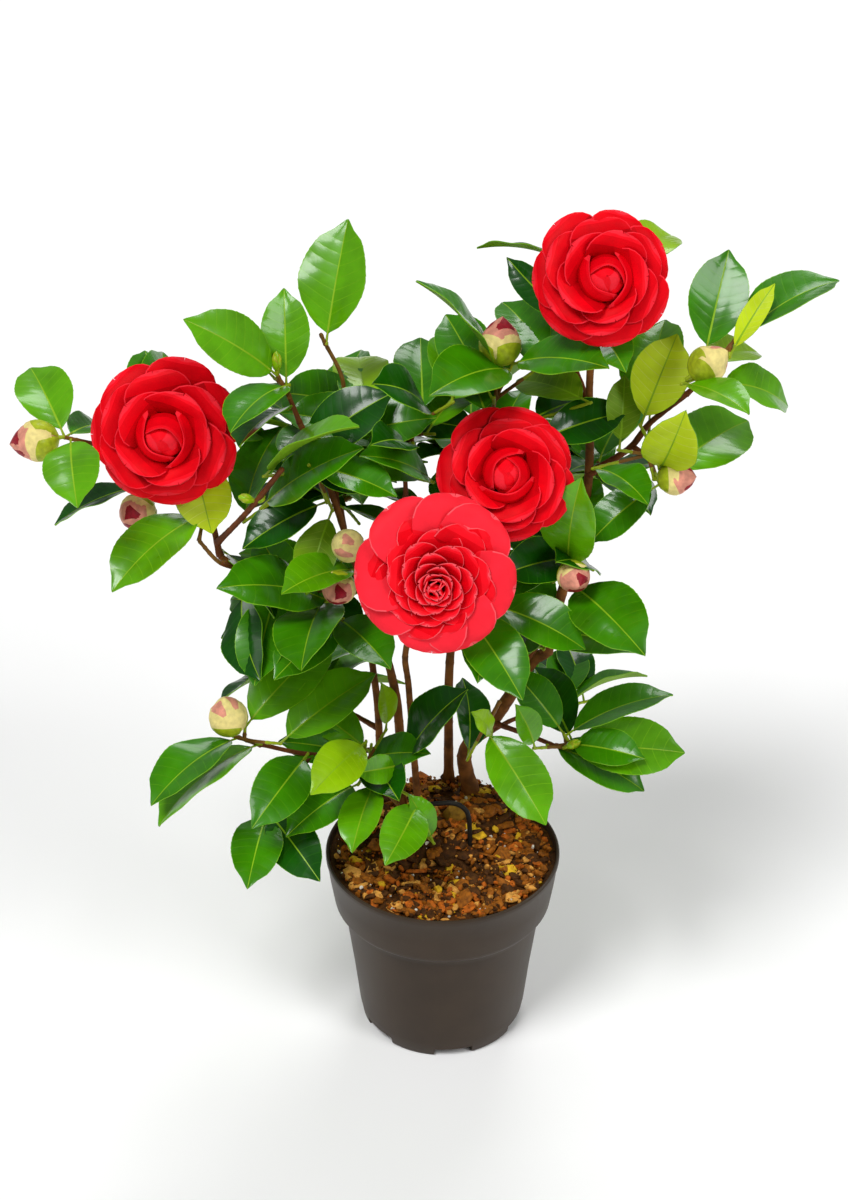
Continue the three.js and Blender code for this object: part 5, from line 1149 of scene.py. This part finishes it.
def add_limb(pile, limb, number):
    """A stem or bough with a flared foot or a swollen fork, ring scars and furrowed bark."""
    path = list(limb["path"])
    rooted = "grows_from" not in limb
    if rooted:
        path.insert(0, path[0] - point(0, 0, ROOT_DEPTH))
    line = smooth_path(path, 1.5)
    run = along_run(line)
    radii = np.interp(run, [0, run[-1]], limb["radii"])
    radii = radii * (1 + 0.35 * np.exp(-np.maximum(0, run - (ROOT_DEPTH if rooted else 0)) / 9))
    rng = seeded(900 + number)
    # Ring scars, where last year's growth began.
    scar = rng(14, 24)
    while scar < run[-1] - 4:
        radii = radii * (1 + rng(0.05, 0.11) * np.exp(-((run - scar) / 0.9) ** 2))
        scar += rng(11, 27)
    bark = "bark_old" if limb["radii"][0] > OLD_WOOD else "bark_young"
    add_tube(pile, line, radii, 20, pile.finishes.index(bark), relief=0.09)


def add_twig(pile, twig, start):
    """A young twig, brown where it is woody and green at its tip, swollen at the leaf joints."""
    path = [start, *twig["path"][1:]]
    line = smooth_path(path, 1.6) if len(path) > 2 else np.linspace(path[0], path[1], 24)
    run = along_run(line)
    radii = np.interp(run, [0, run[-1]], [twig["base"], twig["tip"]])
    radii = radii * (1 + 0.3 * np.exp(-run / 3))
    left = run[-1] - run
    joints = FIRST_LEAF + LEAF_STEP * np.arange(3)
    for joint in joints[joints < 0.85 * run[-1]]:
        radii = radii * (1 + 0.22 * np.exp(-((left - joint) / 0.8) ** 2))
    names = ("bark_young", "shoot_brown") if twig["woody"] else ("shoot_brown", "shoot_green")
    half = len(line) // 2 + 1
    add_tube(pile, line[:half], radii[:half], 9, pile.finishes.index(names[0]), relief=0.05)
    add_tube(pile, line[half - 1 :], radii[half - 1 :], 9, pile.finishes.index(names[1]))


MULCH_FINISHES = ["mulch_dark", "mulch_brown", "mulch_red", "mulch_tan", "mulch_yellow", "perlite",
                  "mulch_clod", "stake"]
MULCH_SHARES = (0.3, 0.36, 0.17, 0.1, 0.035, 0.035)  # of the first six
MULCH_BED = dict(radius=82.6, rings=30, sides=84, sunk=3.0, rough=1.8, bottom=120.0)
CHIP_RINGS = ((0.74, -0.5), (1.0, -0.15), (0.97, 0.22), (0.7, 0.5))  # share of the outline, level
STAKE = [[20, -4, 146], [19, -4, 176], [15, -3, 186], [6, -1, 189], [-10, 3, 185]]
STAKE_RADIUS = 1.8
CLOD = dict(x=9, y=19, over=2, size=(24, 19, 13))
CHIP_LONG = 9  # flakes longer than this are pressed down by CHIP_SUNK
CHIP_SUNK = 1.5
CHIP_REACH = 80.5  # from the pot's middle to the far end of a flake, inside the wall
SPOT_REACH = 79  # from the pot's middle to the farthest middle of a flake


def add_chip(pile, centre, axes, size, corners, rng, kind):
    """A broken flake of bark: an uneven outline, thick through the middle, worn at both faces."""
    turn = np.linspace(0, 2 * np.pi, corners, endpoint=False)
    turn = turn + np.array([rng(-0.3, 0.3) for _ in range(corners)])
    far = np.array([rng(0.72, 1.1) for _ in range(corners)])
    outline = np.stack([np.cos(turn) * far * size[0] / 2, np.sin(turn) * far * size[1] / 2], axis=1)
    rings = []
    for share, level in CHIP_RINGS:
        lift = np.array([rng(-0.12, 0.12) for _ in range(corners)]) + level
        rings.append(np.column_stack([outline * share, lift * size[2]]) @ axes + centre)
    low, high = np.mean(rings[0], axis=0), np.mean(rings[-1], axis=0)
    points = np.vstack([*rings, low, high])
    pile.add(points, grid_faces(len(rings), corners, around=True), kind)
    k = np.arange(corners)
    n = (k + 1) % corners
    top = corners * (len(rings) - 1)
    middle = np.full(corners, corners * len(rings))
    ends = np.vstack([np.stack([n, k, middle], axis=1),
                      np.stack([top + k, top + n, middle + 1], axis=1)])
    pile.faces.append(ends + pile.count - len(points))
    pile.kinds.append(np.full(len(ends), kind))


def mulch_spot(rng):
    """A spot on the mulch, evenly spread over its round top."""
    reach = SPOT_REACH * math.sqrt(rng())
    turn = rng(0, 2 * math.pi)
    return reach * math.cos(turn), reach * math.sin(turn)


def pick(rng, shares):
    """One of several kinds by chance, each as likely as its share."""
    return int(np.searchsorted(np.cumsum(shares), rng() * sum(shares)))


def make_mulch():
    """Coarse bark mulch heaped to the stems: a dark bed, a thousand flakes and loose crumbs."""
    pile = Pile(MULCH_FINISHES)
    rng = seeded(77)
    index = MULCH_FINISHES.index
    rings, sides = MULCH_BED["rings"], MULCH_BED["sides"]
    rows = []
    for i in range(rings):
        reach = MULCH_BED["radius"] * i / (rings - 1)
        ring = []
        for j in range(sides):
            turn = 2 * math.pi * j / sides
            x, y = reach * math.cos(turn), reach * math.sin(turn)
            rough = noise.noise(Vector((x / 5, y / 5, 1.5))) * MULCH_BED["rough"]
            ring.append((x, y, ground_height(x, y) - MULCH_BED["sunk"] + rough))
        rows.append(ring)
    rows.append([(0.94 * x, 0.94 * y, MULCH_BED["bottom"]) for x, y, _ in rows[-1]])
    pile.add(np.array(rows), grid_faces(rings + 1, sides, around=True), index("mulch_dark"))
    # Flakes, most of them short; a long one lies lower.
    for _ in range(sizes().chips):
        x, y = mulch_spot(rng)
        long = rng(4, 10) if rng() < 0.6 else rng(10, 20)
        size = (long, long * rng(0.45, 0.8), rng(1.4, 4.2))
        up = unit(point(rng(-0.6, 0.6), rng(-0.6, 0.6), 1))
        one = unit(np.cross(up, direction(rng(0, 360), 0)))
        axes = np.array([one, np.cross(up, one), up])
        kind = pick(rng, MULCH_SHARES)
        if kind == index("perlite"):
            size = (rng(2.2, 4), rng(2, 3.4), rng(1.8, 3))
        level = ground_height(x, y) + rng(-2.5, 1.8) - (CHIP_SUNK if long > CHIP_LONG else 0)
        share = min(1, CHIP_REACH / (math.hypot(x, y) + long / 2))
        add_chip(pile, point(x * share, y * share, level), axes, size, 5 + int(rng(0, 3)), rng, kind)
    # Crumbs, as many again.
    for _ in range(sizes().chips):
        x, y = mulch_spot(rng)
        bit = rng(0.7, 2.2)
        level = ground_height(x, y) + rng(-0.5, 2.2)
        size = (bit, bit * rng(0.6, 1), bit * rng(0.5, 0.9))
        add_chip(pile, point(x, y, level), np.eye(3), size, 4, rng, pick(rng, MULCH_SHARES))
    lump = np.array([direction(20, 10), direction(110, 15), direction(-60, 70)])
    x, y = CLOD["x"], CLOD["y"]
    add_chip(pile, point(x, y, ground_height(x, y) + CLOD["over"]), lump, CLOD["size"], 7, rng,
             index("mulch_clod"))
    stake = smooth_path([point(*p) for p in STAKE], 2)
    add_tube(pile, stake, np.full(len(stake), STAKE_RADIUS), 10, index("stake"))
    return pile.piece("bark_mulch", "bark_mulch", ["root_ball"], sharp=40)


def make_pot():
    """The moulded pot: rounded foot with six drain notches, a step, a collar and a rolled rim."""
    pile = Pile(["pot"])
    wall = [*POT_UNDER, *POT_WALL, *POT_INSIDE]
    half = math.degrees(NOTCH["width"] / 2 / NOTCH["radius"])
    middles = [NOTCH["first"] + 360 / NOTCH["count"] * k for k in range(NOTCH["count"])]
    turns = [3 * k for k in range(120)]
    for middle in middles:
        for side in (-1, 1):
            turns += [(middle + side * (half + step)) % 360 for step in (-NOTCH_EDGE, 0.0, NOTCH_EDGE)]
    turns = sorted(set(turns))
    grid = np.zeros((len(wall), len(turns), 3))
    for j, turn in enumerate(turns):
        nearest = min(abs((turn - middle + 180) % 360 - 180) for middle in middles)
        cut = nearest < half + NOTCH_EDGE / 2
        a = math.radians(turn)
        for i, (r, z) in enumerate(wall):
            if cut and NOTCH["start"] <= r < NOTCH["end"] and z < NOTCH["height"]:
                z = NOTCH["height"]
                r = max(r, NOTCH["face"]) if r > NOTCH["bend"] else r
            grid[i, j] = (r * math.cos(a), r * math.sin(a), z)
    pile.add(grid, grid_faces(len(wall), len(turns), around=True), 0)
    return pile.piece("nursery_pot", "pot_plastic", ["pot"], sharp=28)


# ---- finishes --------------------------------------------------------------------------------------
def linear(colour):
    """An sRGB hex colour as linear light, for a shader socket."""
    parts = [int(colour[k : k + 2], 16) / 255 for k in (1, 3, 5)]
    return tuple(c / 12.92 if c <= 0.04045 else ((c + 0.055) / 1.055) ** 2.4 for c in parts) + (1.0,)


# For each finish: the real material, its colour, roughness, clear coat, the size of its patches of
# light and dark in millimetres and their share, the size of its grain and its depth in millimetres.
FINISH_TABLE = {
    # Moulded plastic: one soft broad highlight down the wall and almost no mottling.
    "pot": ("Polypropylene, injection moulded, taupe", "#3c3127", 0.42, 0.0, 30, 0.10, 0.5, 0.03),
    # Bark: dry, patchy and rough, so the stems catch small broken lights; it smooths with youth.
    "bark_old": ("Camellia bark, two years old, brown", "#77481f", 0.8, 0.0, 9, 0.4, 1.1, 0.3),
    "bark_young": ("Camellia bark, one year old, red-brown", "#6a3818", 0.66, 0.0, 7, 0.35, 0.9, 0.15),
    # Twigs: smoother than bark and a little shiny at the green end, so they read as living.
    "shoot_brown": ("Camellia twig, ripening", "#74501c", 0.5, 0.0, 6, 0.25, 0.8, 0.06),
    "shoot_green": ("Camellia twig, this year's growth", "#8fa018", 0.42, 0.1, 6, 0.15, 0.8, 0.04),
    # Upper faces of leaves: a thin wax over quilted cells, so lights are crisp but small and the green
    # shows through; the four greens set one leaf off from the next, and the deep one also carries
    # painted shade, the bright one painted light.
    "leaf_deep_with_painted_shade": ("Camellia leaf, waxy, dark green with painted shade", "#0f4c01", 0.3, 0.4, 22, 0.25, 1.4, 0.05),
    "leaf_mid": ("Camellia leaf, waxy, mature green", "#377c01", 0.29, 0.4, 22, 0.22, 1.4, 0.05),
    "leaf_bright_with_painted_light": ("Camellia leaf, waxy, light green with painted light", "#589c02", 0.29, 0.4, 22, 0.2, 1.4, 0.05),
    "leaf_fresh": ("Camellia leaf, waxy, new growth", "#8cb806", 0.32, 0.3, 22, 0.16, 1.4, 0.05),
    # Lower faces: no wax, so they look flat and light beside the upper ones. The first two are
    # copies of a lower face with painted light and with painted shade.
    "leaf_pale": ("Camellia leaf, lower face with painted light", "#b8d018", 0.5, 0.0, 18, 0.12, 1.0, 0.06),
    "leaf_olive": ("Camellia leaf, lower face with painted shade", "#6e9408", 0.5, 0.0, 18, 0.14, 1.0, 0.06),
    "leaf_under": ("Camellia leaf, matte lower face", "#76a218", 0.55, 0.0, 18, 0.14, 1.0, 0.06),
    # Veins: a shade lighter than their leaf, which draws the ribs without an outline; the veins of the
    # deep, bright, pale and olive leaves carry the same painted shade and painted light as their leaf.
    "vein_deep": ("Camellia leaf vein in dark green with painted shade", "#1d5804", 0.32, 0.35, 12, 0.12, 1.0, 0.03),
    "vein_mid": ("Camellia leaf vein in mature green", "#468604", 0.32, 0.35, 12, 0.12, 1.0, 0.03),
    "vein_bright": ("Camellia leaf vein in light green with painted light", "#68a60a", 0.32, 0.35, 12, 0.12, 1.0, 0.03),
    "vein_fresh": ("Camellia leaf vein in new growth", "#98be14", 0.34, 0.3, 12, 0.12, 1.0, 0.03),
    "vein_pale": ("Camellia leaf vein, raised below, with painted light", "#c0d04c", 0.5, 0.0, 12, 0.12, 1.0, 0.03),
    "vein_olive": ("Camellia leaf vein, raised below, with painted shade", "#88a42a", 0.5, 0.0, 12, 0.12, 1.0, 0.03),
    # Midrib, rim and stalk: yellower and paler, so each blade has a clear middle and a thin bright line
    # round it.
    "leaf_midrib": ("Camellia leaf, pale midrib", "#86b01c", 0.4, 0.1, 12, 0.12, 1.0, 0.03),
    "leaf_edge": ("Camellia leaf, thickened toothed edge", "#74ac18", 0.36, 0.1, 8, 0.12, 1.0, 0.03),
    "leaf_stalk": ("Camellia leaf stalk, yellow-green", "#8aa41c", 0.42, 0.1, 6, 0.15, 0.8, 0.03),
    # Bud scales: downy, so they hardly shine; they turn from green to cream to rose, scale by scale.
    "bud_green": ("Camellia bud scale, green", "#a0ae1e", 0.45, 0.1, 4, 0.24, 0.6, 0.04),
    "bud_cream": ("Camellia bud scale, downy cream", "#e6d488", 0.55, 0.0, 4, 0.13, 0.5, 0.05),
    "bud_blush": ("Camellia bud scale, blushed", "#d8907a", 0.5, 0.0, 4, 0.2, 0.5, 0.05),
    "bud_tip": ("Camellia petal tip, showing through the bud", "#921826", 0.45, 0.0, 3, 0.3, 0.5, 0.04),
    # Petals: satin, hardly any reflection, so the red stays full in the light; from foot to end they
    # lighten in small steps of painted shade and painted light, with a painted highlight on the rim.
    "petal_deep": ("Camellia petal, deep red foot", "#940006", 0.5, 0.0, 7, 0.12, 0.9, 0.05),
    "petal_shade": ("Camellia petal, satin red with painted shade", "#c4000d", 0.5, 0.0, 9, 0.12, 0.9, 0.05),
    "petal_main": ("Camellia petal, satin red", "#e20012", 0.5, 0.0, 12, 0.1, 0.9, 0.05),
    "petal_bright": ("Camellia petal, satin red with painted light", "#f60e20", 0.5, 0.0, 12, 0.1, 0.9, 0.05),
    "petal_light": ("Camellia petal, satin red with more painted light", "#fc2838", 0.5, 0.0, 12, 0.1, 0.9, 0.05),
    "petal_edge": ("Camellia petal, painted highlight on the rim", "#fc5660", 0.5, 0.0, 9, 0.1, 0.9, 0.04),
    "petal_back": ("Camellia petal, matte reverse", "#d6000e", 0.5, 0.0, 12, 0.1, 0.9, 0.05),
    # Bark mulch: broken wood, wet below and dry on top, with strong patches so no two flakes match.
    "mulch_dark": ("Pine bark, wet, nearly black", "#4a2a0a", 0.75, 0.0, 3, 0.45, 0.7, 0.4),
    "mulch_brown": ("Pine bark, brown", "#8c500f", 0.7, 0.0, 3, 0.45, 0.7, 0.4),
    "mulch_red": ("Pine bark, fresh break, red-brown", "#ac5812", 0.7, 0.0, 3, 0.4, 0.7, 0.35),
    "mulch_tan": ("Wood chip, tan", "#cc9040", 0.7, 0.0, 3, 0.35, 0.7, 0.3),
    "mulch_yellow": ("Wood chip, fresh, yellow", "#d2a41c", 0.65, 0.0, 3, 0.25, 0.7, 0.2),
    # What lies among the flakes: a crumbly clod, a smooth dull tube and chalky white grains.
    "mulch_clod": ("Peat clod, dry, ochre", "#8a641c", 0.8, 0.0, 4, 0.3, 0.8, 0.4),
    "stake": ("Drip stake, black polythene", "#1c1814", 0.5, 0.0, 6, 0.2, 0.6, 0.03),
    "perlite": ("Perlite, expanded, off-white", "#dcd6c8", 0.8, 0.0, 2, 0.12, 0.5, 0.2),
}


def add_node(tree, kind, links=(), **settings):
    """Adds one shader node, sets its properties and sockets, and links sockets to its inputs."""
    made = tree.nodes.new(kind)
    for name, value in settings.items():
        if hasattr(made, name):
            setattr(made, name, value)
        else:
            made.inputs[name.replace("_", " ")].default_value = value
    for source, target in links:
        tree.links.new(source, made.inputs[target])
    return made


COAT_ROUGHNESS = 0.13
SHEEN = dict(petal=0.07, other=0.2)  # how strongly petals and everything else reflect
PATCH_EDGES = (0.32, 0.68)  # where in the noise a patch is fully dark and fully light
GLOSS_BAND = (-0.05, 0.06)  # how far roughness strays with the patches


def finish(key):
    """The named finish: patchy colour and gloss over fine grain, so no face looks like one flat tone."""
    label, colour, rough, coat, patch, share, grain, depth = FINISH_TABLE[key]
    if label in bpy.data.materials:
        return bpy.data.materials[label]
    material = bpy.data.materials.new(label)
    material.use_nodes = True
    tree = material.node_tree
    shader = tree.nodes["Principled BSDF"]
    base = colours_of(key) or linear(colour)
    shader.inputs["Coat Weight"].default_value = coat
    shader.inputs["Coat Roughness"].default_value = COAT_ROUGHNESS
    sheen = SHEEN["petal" if key.startswith("petal") else "other"]
    shader.inputs["Specular IOR Level"].default_value = sheen
    shader.inputs["IOR"].default_value = 1.47
    place = add_node(tree, "ShaderNodeTexCoord").outputs["Object"]
    patches = add_node(tree, "ShaderNodeTexNoise", [(place, "Vector")], Scale=1000 / patch, Detail=3.0)
    tone = add_node(tree, "ShaderNodeValToRGB", [(patches.outputs["Fac"], "Fac")])
    low, high = tone.color_ramp.elements
    low.position, high.position = PATCH_EDGES
    low.color = tuple(c * (1 - share) for c in base[:3]) + (1.0,)
    high.color = tuple(min(1, c * (1 + share)) for c in base[:3]) + (1.0,)
    tree.links.new(tone.outputs["Color"], shader.inputs["Base Color"])
    gloss = add_node(tree, "ShaderNodeMapRange", [(patches.outputs["Fac"], "Value")],
                     To_Min=rough + GLOSS_BAND[0], To_Max=rough + GLOSS_BAND[1])
    tree.links.new(gloss.outputs["Result"], shader.inputs["Roughness"])
    fine = add_node(tree, "ShaderNodeTexNoise", [(place, "Vector")], Scale=1000 / grain, Detail=2.0)
    bump = add_node(tree, "ShaderNodeBump", [(fine.outputs["Fac"], "Height")],
                    Strength=0.5, Distance=depth * MM)
    tree.links.new(bump.outputs["Normal"], shader.inputs["Normal"])
    return material


def colours_of(key):
    """The colour set for a finish, if it has a setting."""
    return tuple(getattr(colours(), key)) + (1.0,) if hasattr(colours(), key) else None


# ---- settings --------------------------------------------------------------------------------------
def tint(key, name, text):
    """A colour setting that starts from the finish table."""
    return FloatVectorProperty(name=name, description=text, subtype="COLOR", size=3, min=0, max=1,
                               default=linear(FINISH_TABLE[key][1])[:3])


class CamelliaSizes(bpy.types.PropertyGroup):
    stalk: FloatProperty(name="Leaf stalk", description="Length of a leaf's stalk", default=0.007,
                         min=0.002, max=0.02, unit="LENGTH")
    leaf_spread: FloatProperty(name="Leaf breadth", default=0.58, min=0.3, max=0.9, subtype="FACTOR",
                               description="Width of a leaf as a share of its length")
    leaf_thickness: FloatProperty(name="Leaf thickness", description="Thickness of a leaf's blade",
                                  default=0.0005, min=0.0002, max=0.002, unit="LENGTH")
    petal_thickness: FloatProperty(name="Petal thickness", description="Thickness of a petal",
                                   default=0.0007, min=0.0002, max=0.002, unit="LENGTH")
    finer_sprigs: IntProperty(name="Finer sprigs", description="Sprigs tried beyond each mass's own",
                              default=1, min=0, max=40)
    chips: IntProperty(name="Bark chips", description="Number of flakes in the mulch", default=1100,
                       min=50, max=4000)


class CamelliaColours(bpy.types.PropertyGroup):
    pot: tint("pot", "Pot", "Colour of the moulded pot")
    bark_old: tint("bark_old", "Bark", "Colour of the stems")
    # The shaded and light greens are partly painted shade and painted light.
    leaf_deep_with_painted_shade: tint("leaf_deep_with_painted_shade", "Shaded leaves", "Colour of the darkest leaves")
    leaf_mid: tint("leaf_mid", "Mature leaves", "Colour of most leaves")
    leaf_bright_with_painted_light: tint("leaf_bright_with_painted_light", "Light leaves", "Colour of the lighter leaves")
    leaf_fresh: tint("leaf_fresh", "New leaves", "Colour of this year's leaves")
    petal_main: tint("petal_main", "Petals", "Colour of the petals")


def sizes():
    return bpy.context.scene.camellia_sizes


def colours():
    return bpy.context.scene.camellia_colours


GROWN = {}  # the grown plant for the settings it was last grown for


def growth():
    """The grown sprays for the settings as they stand, worked out once."""
    key = (sizes().stalk, sizes().leaf_spread, sizes().finer_sprigs)
    if key not in GROWN:
        GROWN.clear()
        GROWN[key] = Growth()
    return GROWN[key]


# ---- pieces ----------------------------------------------------------------------------------------
LEFT_WITHOUT_NAME = ("foliage_tall", "foliage_low_inner")  # at the left, but not named for it
STEM_NEAR = 6  # a mass's stem that starts this near to a limb's curve is drawn on to it


def part_of(mass):
    """Which third of the crown a mass is in, so that its joined pieces stay a fair size."""
    if "back" in mass:
        return "back"
    return "left" if "left" in mass or mass in LEFT_WITHOUT_NAME else "right"


def masses_in(part):
    """The names of the masses in one part of the crown."""
    return [mass["name"] for mass in MASSES if part_of(mass["name"]) == part]


def make_leaves():
    for part in ("left", "right", "back"):
        pile = Pile(LEAF_FINISHES)
        for leaf in growth().leaves:
            if part_of(leaf["mass"]) == part:
                add_leaf(pile, leaf)
        pile.piece(f"leaves_{part}", "foliage", masses_in(part), sharp=55)


def make_buds():
    pile = Pile(["bud_green", "bud_cream", "bud_blush", "bud_tip", "leaf_fresh", "shoot_green"])
    for bud in growth().buds:
        add_bud(pile, bud)
    nodes = sorted({bud["mass"] for bud in growth().buds})
    pile.piece("flower_buds", "foliage", nodes)


def make_twigs():
    pile = Pile(["bark_young", "shoot_brown", "shoot_green"])
    lines = np.vstack([smooth_path(limb["path"], 2) for limb in growth().limbs.values()])
    for twig in growth().twigs:
        start = twig["path"][0]
        if twig["woody"]:
            gaps = np.linalg.norm(lines - start, axis=1)
            start = lines[np.argmin(gaps)] if gaps.min() < STEM_NEAR else start
        add_twig(pile, twig, start)
    pile.piece("twigs", "foliage", [mass["name"] for mass in MASSES])


def make_limbs():
    pile = Pile(["bark_old", "bark_young"])
    for number, limb in enumerate(growth().limbs.values()):
        add_limb(pile, limb, number)
    pile.piece("stems_and_boughs", "bark", [limb["name"] for limb in LIMBS])


def make_blooms():
    for bloom in BLOOMS:
        pile = Pile(PETAL_FINISHES)
        add_bloom(pile, bloom, growth().root_of(bloom))
        pile.piece(f"{bloom['name']}_petals", "petals", [bloom["name"]])


# The stage, in metres. The floor reaches so far that its end meets the surround unseen. The surround
# is full white where it's looked at and weaker as a light, so the lamps shape the leaves.
FLOOR_REACH = 60.0
SURROUND = dict(light=0.2, seen=1.0)
LAMPS = (
    # name, direction it shines from, angle it spreads over in degrees, strength
    ("key", (-0.6, -0.8, 1.6), 22, 2.0),
    ("fill", (1.2, -1.0, 1.2), 24, 1.05),
    ("rear", (0.3, 1.3, 1.5), 24, 0.9),
)
PAPER = (0.92, 0.92, 0.92, 1)
CAMERA = dict(place=(-0.0136, -1.309, 1.1525), tip=58.8, lens=67.26, sensor=36.0, near=0.05)


def make_stage():
    """A pale floor, a plain white surround, broad soft lights from three sides, and the camera."""
    floor = bpy.data.meshes.new("floor")
    corners = [(x * FLOOR_REACH, y * FLOOR_REACH, 0) for x, y in ((-1, -1), (1, -1), (1, 1), (-1, 1))]
    floor.from_pydata(corners, [], [(0, 1, 2, 3)])
    ground = bpy.data.objects.new("floor", floor)
    bpy.context.scene.collection.objects.link(ground)
    paper = bpy.data.materials.new("Studio paper, matte white")
    paper.use_nodes = True
    shader = paper.node_tree.nodes["Principled BSDF"]
    shader.inputs["Base Color"].default_value = PAPER
    shader.inputs["Roughness"].default_value = 0.9
    floor.materials.append(paper)
    world = bpy.data.worlds.new("studio")
    world.use_nodes = True
    world.node_tree.nodes["Background"].inputs["Color"].default_value = (1, 1, 1, 1)
    seen = add_node(world.node_tree, "ShaderNodeLightPath").outputs["Is Camera Ray"]
    white = add_node(world.node_tree, "ShaderNodeMapRange", [(seen, "Value")],
                     To_Min=SURROUND["light"], To_Max=SURROUND["seen"])
    world.node_tree.links.new(white.outputs["Result"],
                              world.node_tree.nodes["Background"].inputs["Strength"])
    bpy.context.scene.world = world
    for name, spot, spread, strength in LAMPS:
        light = bpy.data.lights.new(name, "SUN")
        light.angle, light.energy = math.radians(spread), strength
        lamp = bpy.data.objects.new(name, light)
        lamp.rotation_euler = Vector(spot).to_track_quat("Z", "Y").to_euler()
        bpy.context.scene.collection.objects.link(lamp)
    lens = bpy.data.cameras.new("camera")
    lens.lens = CAMERA["lens"]
    lens.sensor_width = CAMERA["sensor"]
    lens.clip_start = CAMERA["near"]
    camera = bpy.data.objects.new("camera", lens)
    camera.location = CAMERA["place"]
    camera.rotation_euler = (math.radians(CAMERA["tip"]), 0, 0)
    bpy.context.scene.collection.objects.link(camera)
    bpy.context.scene.camera = camera
    bpy.context.scene.view_settings.view_transform = "Standard"


# ---- operators and panel ---------------------------------------------------------------------------
class CAMELLIA_OT_pot(bpy.types.Operator):
    """Model the nursery pot"""

    bl_idname = "camellia.pot"
    bl_label = "Pot"

    def execute(self, context):
        make_pot()
        return {"FINISHED"}


class CAMELLIA_OT_mulch(bpy.types.Operator):
    """Heap the bark mulch in the pot"""

    bl_idname = "camellia.mulch"
    bl_label = "Bark mulch"

    def execute(self, context):
        make_mulch()
        return {"FINISHED"}


class CAMELLIA_OT_limbs(bpy.types.Operator):
    """Grow the stems and boughs with their bark"""

    bl_idname = "camellia.limbs"
    bl_label = "Stems and boughs"

    def execute(self, context):
        make_limbs()
        return {"FINISHED"}


class CAMELLIA_OT_twigs(bpy.types.Operator):
    """Grow the twigs of every mass"""

    bl_idname = "camellia.twigs"
    bl_label = "Twigs"

    def execute(self, context):
        make_twigs()
        return {"FINISHED"}


class CAMELLIA_OT_leaves(bpy.types.Operator):
    """Put the leaves on the twigs"""

    bl_idname = "camellia.leaves"
    bl_label = "Leaves"

    def execute(self, context):
        make_leaves()
        return {"FINISHED"}


class CAMELLIA_OT_buds(bpy.types.Operator):
    """Put the flower and leaf buds on the twigs"""

    bl_idname = "camellia.buds"
    bl_label = "Buds"

    def execute(self, context):
        make_buds()
        return {"FINISHED"}


class CAMELLIA_OT_blooms(bpy.types.Operator):
    """Open the four blooms"""

    bl_idname = "camellia.blooms"
    bl_label = "Blooms"

    def execute(self, context):
        make_blooms()
        return {"FINISHED"}


class CAMELLIA_OT_stage(bpy.types.Operator):
    """Lay the floor and set the lights and the camera"""

    bl_idname = "camellia.stage"
    bl_label = "Studio"

    def execute(self, context):
        make_stage()
        return {"FINISHED"}


STEPS = (CAMELLIA_OT_pot, CAMELLIA_OT_mulch, CAMELLIA_OT_limbs, CAMELLIA_OT_twigs, CAMELLIA_OT_leaves,
         CAMELLIA_OT_buds, CAMELLIA_OT_blooms, CAMELLIA_OT_stage)


class CAMELLIA_PT_panel(bpy.types.Panel):
    bl_label = "Camellia"
    bl_idname = "CAMELLIA_PT_panel"
    bl_space_type = "VIEW_3D"
    bl_region_type = "UI"
    bl_category = "Camellia"

    def draw(self, context):
        for group in (sizes(), colours()):
            box = self.layout.box()
            for key in group.bl_rna.properties.keys():
                if key not in ("rna_type", "name"):
                    box.prop(group, key)
        for step in STEPS:
            self.layout.operator(step.bl_idname)


CLASSES = (CamelliaSizes, CamelliaColours, *STEPS, CAMELLIA_PT_panel)


def register():
    for made in CLASSES:
        bpy.utils.register_class(made)
    bpy.types.Scene.camellia_sizes = PointerProperty(type=CamelliaSizes)
    bpy.types.Scene.camellia_colours = PointerProperty(type=CamelliaColours)


def unregister():
    del bpy.types.Scene.camellia_colours
    del bpy.types.Scene.camellia_sizes
    for made in reversed(CLASSES):
        bpy.utils.unregister_class(made)


def main():
    register()
    for step in STEPS:
        group, name = step.bl_idname.split(".")
        getattr(getattr(bpy.ops, group), name)()
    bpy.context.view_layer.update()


if __name__ == "__main__":
    main()
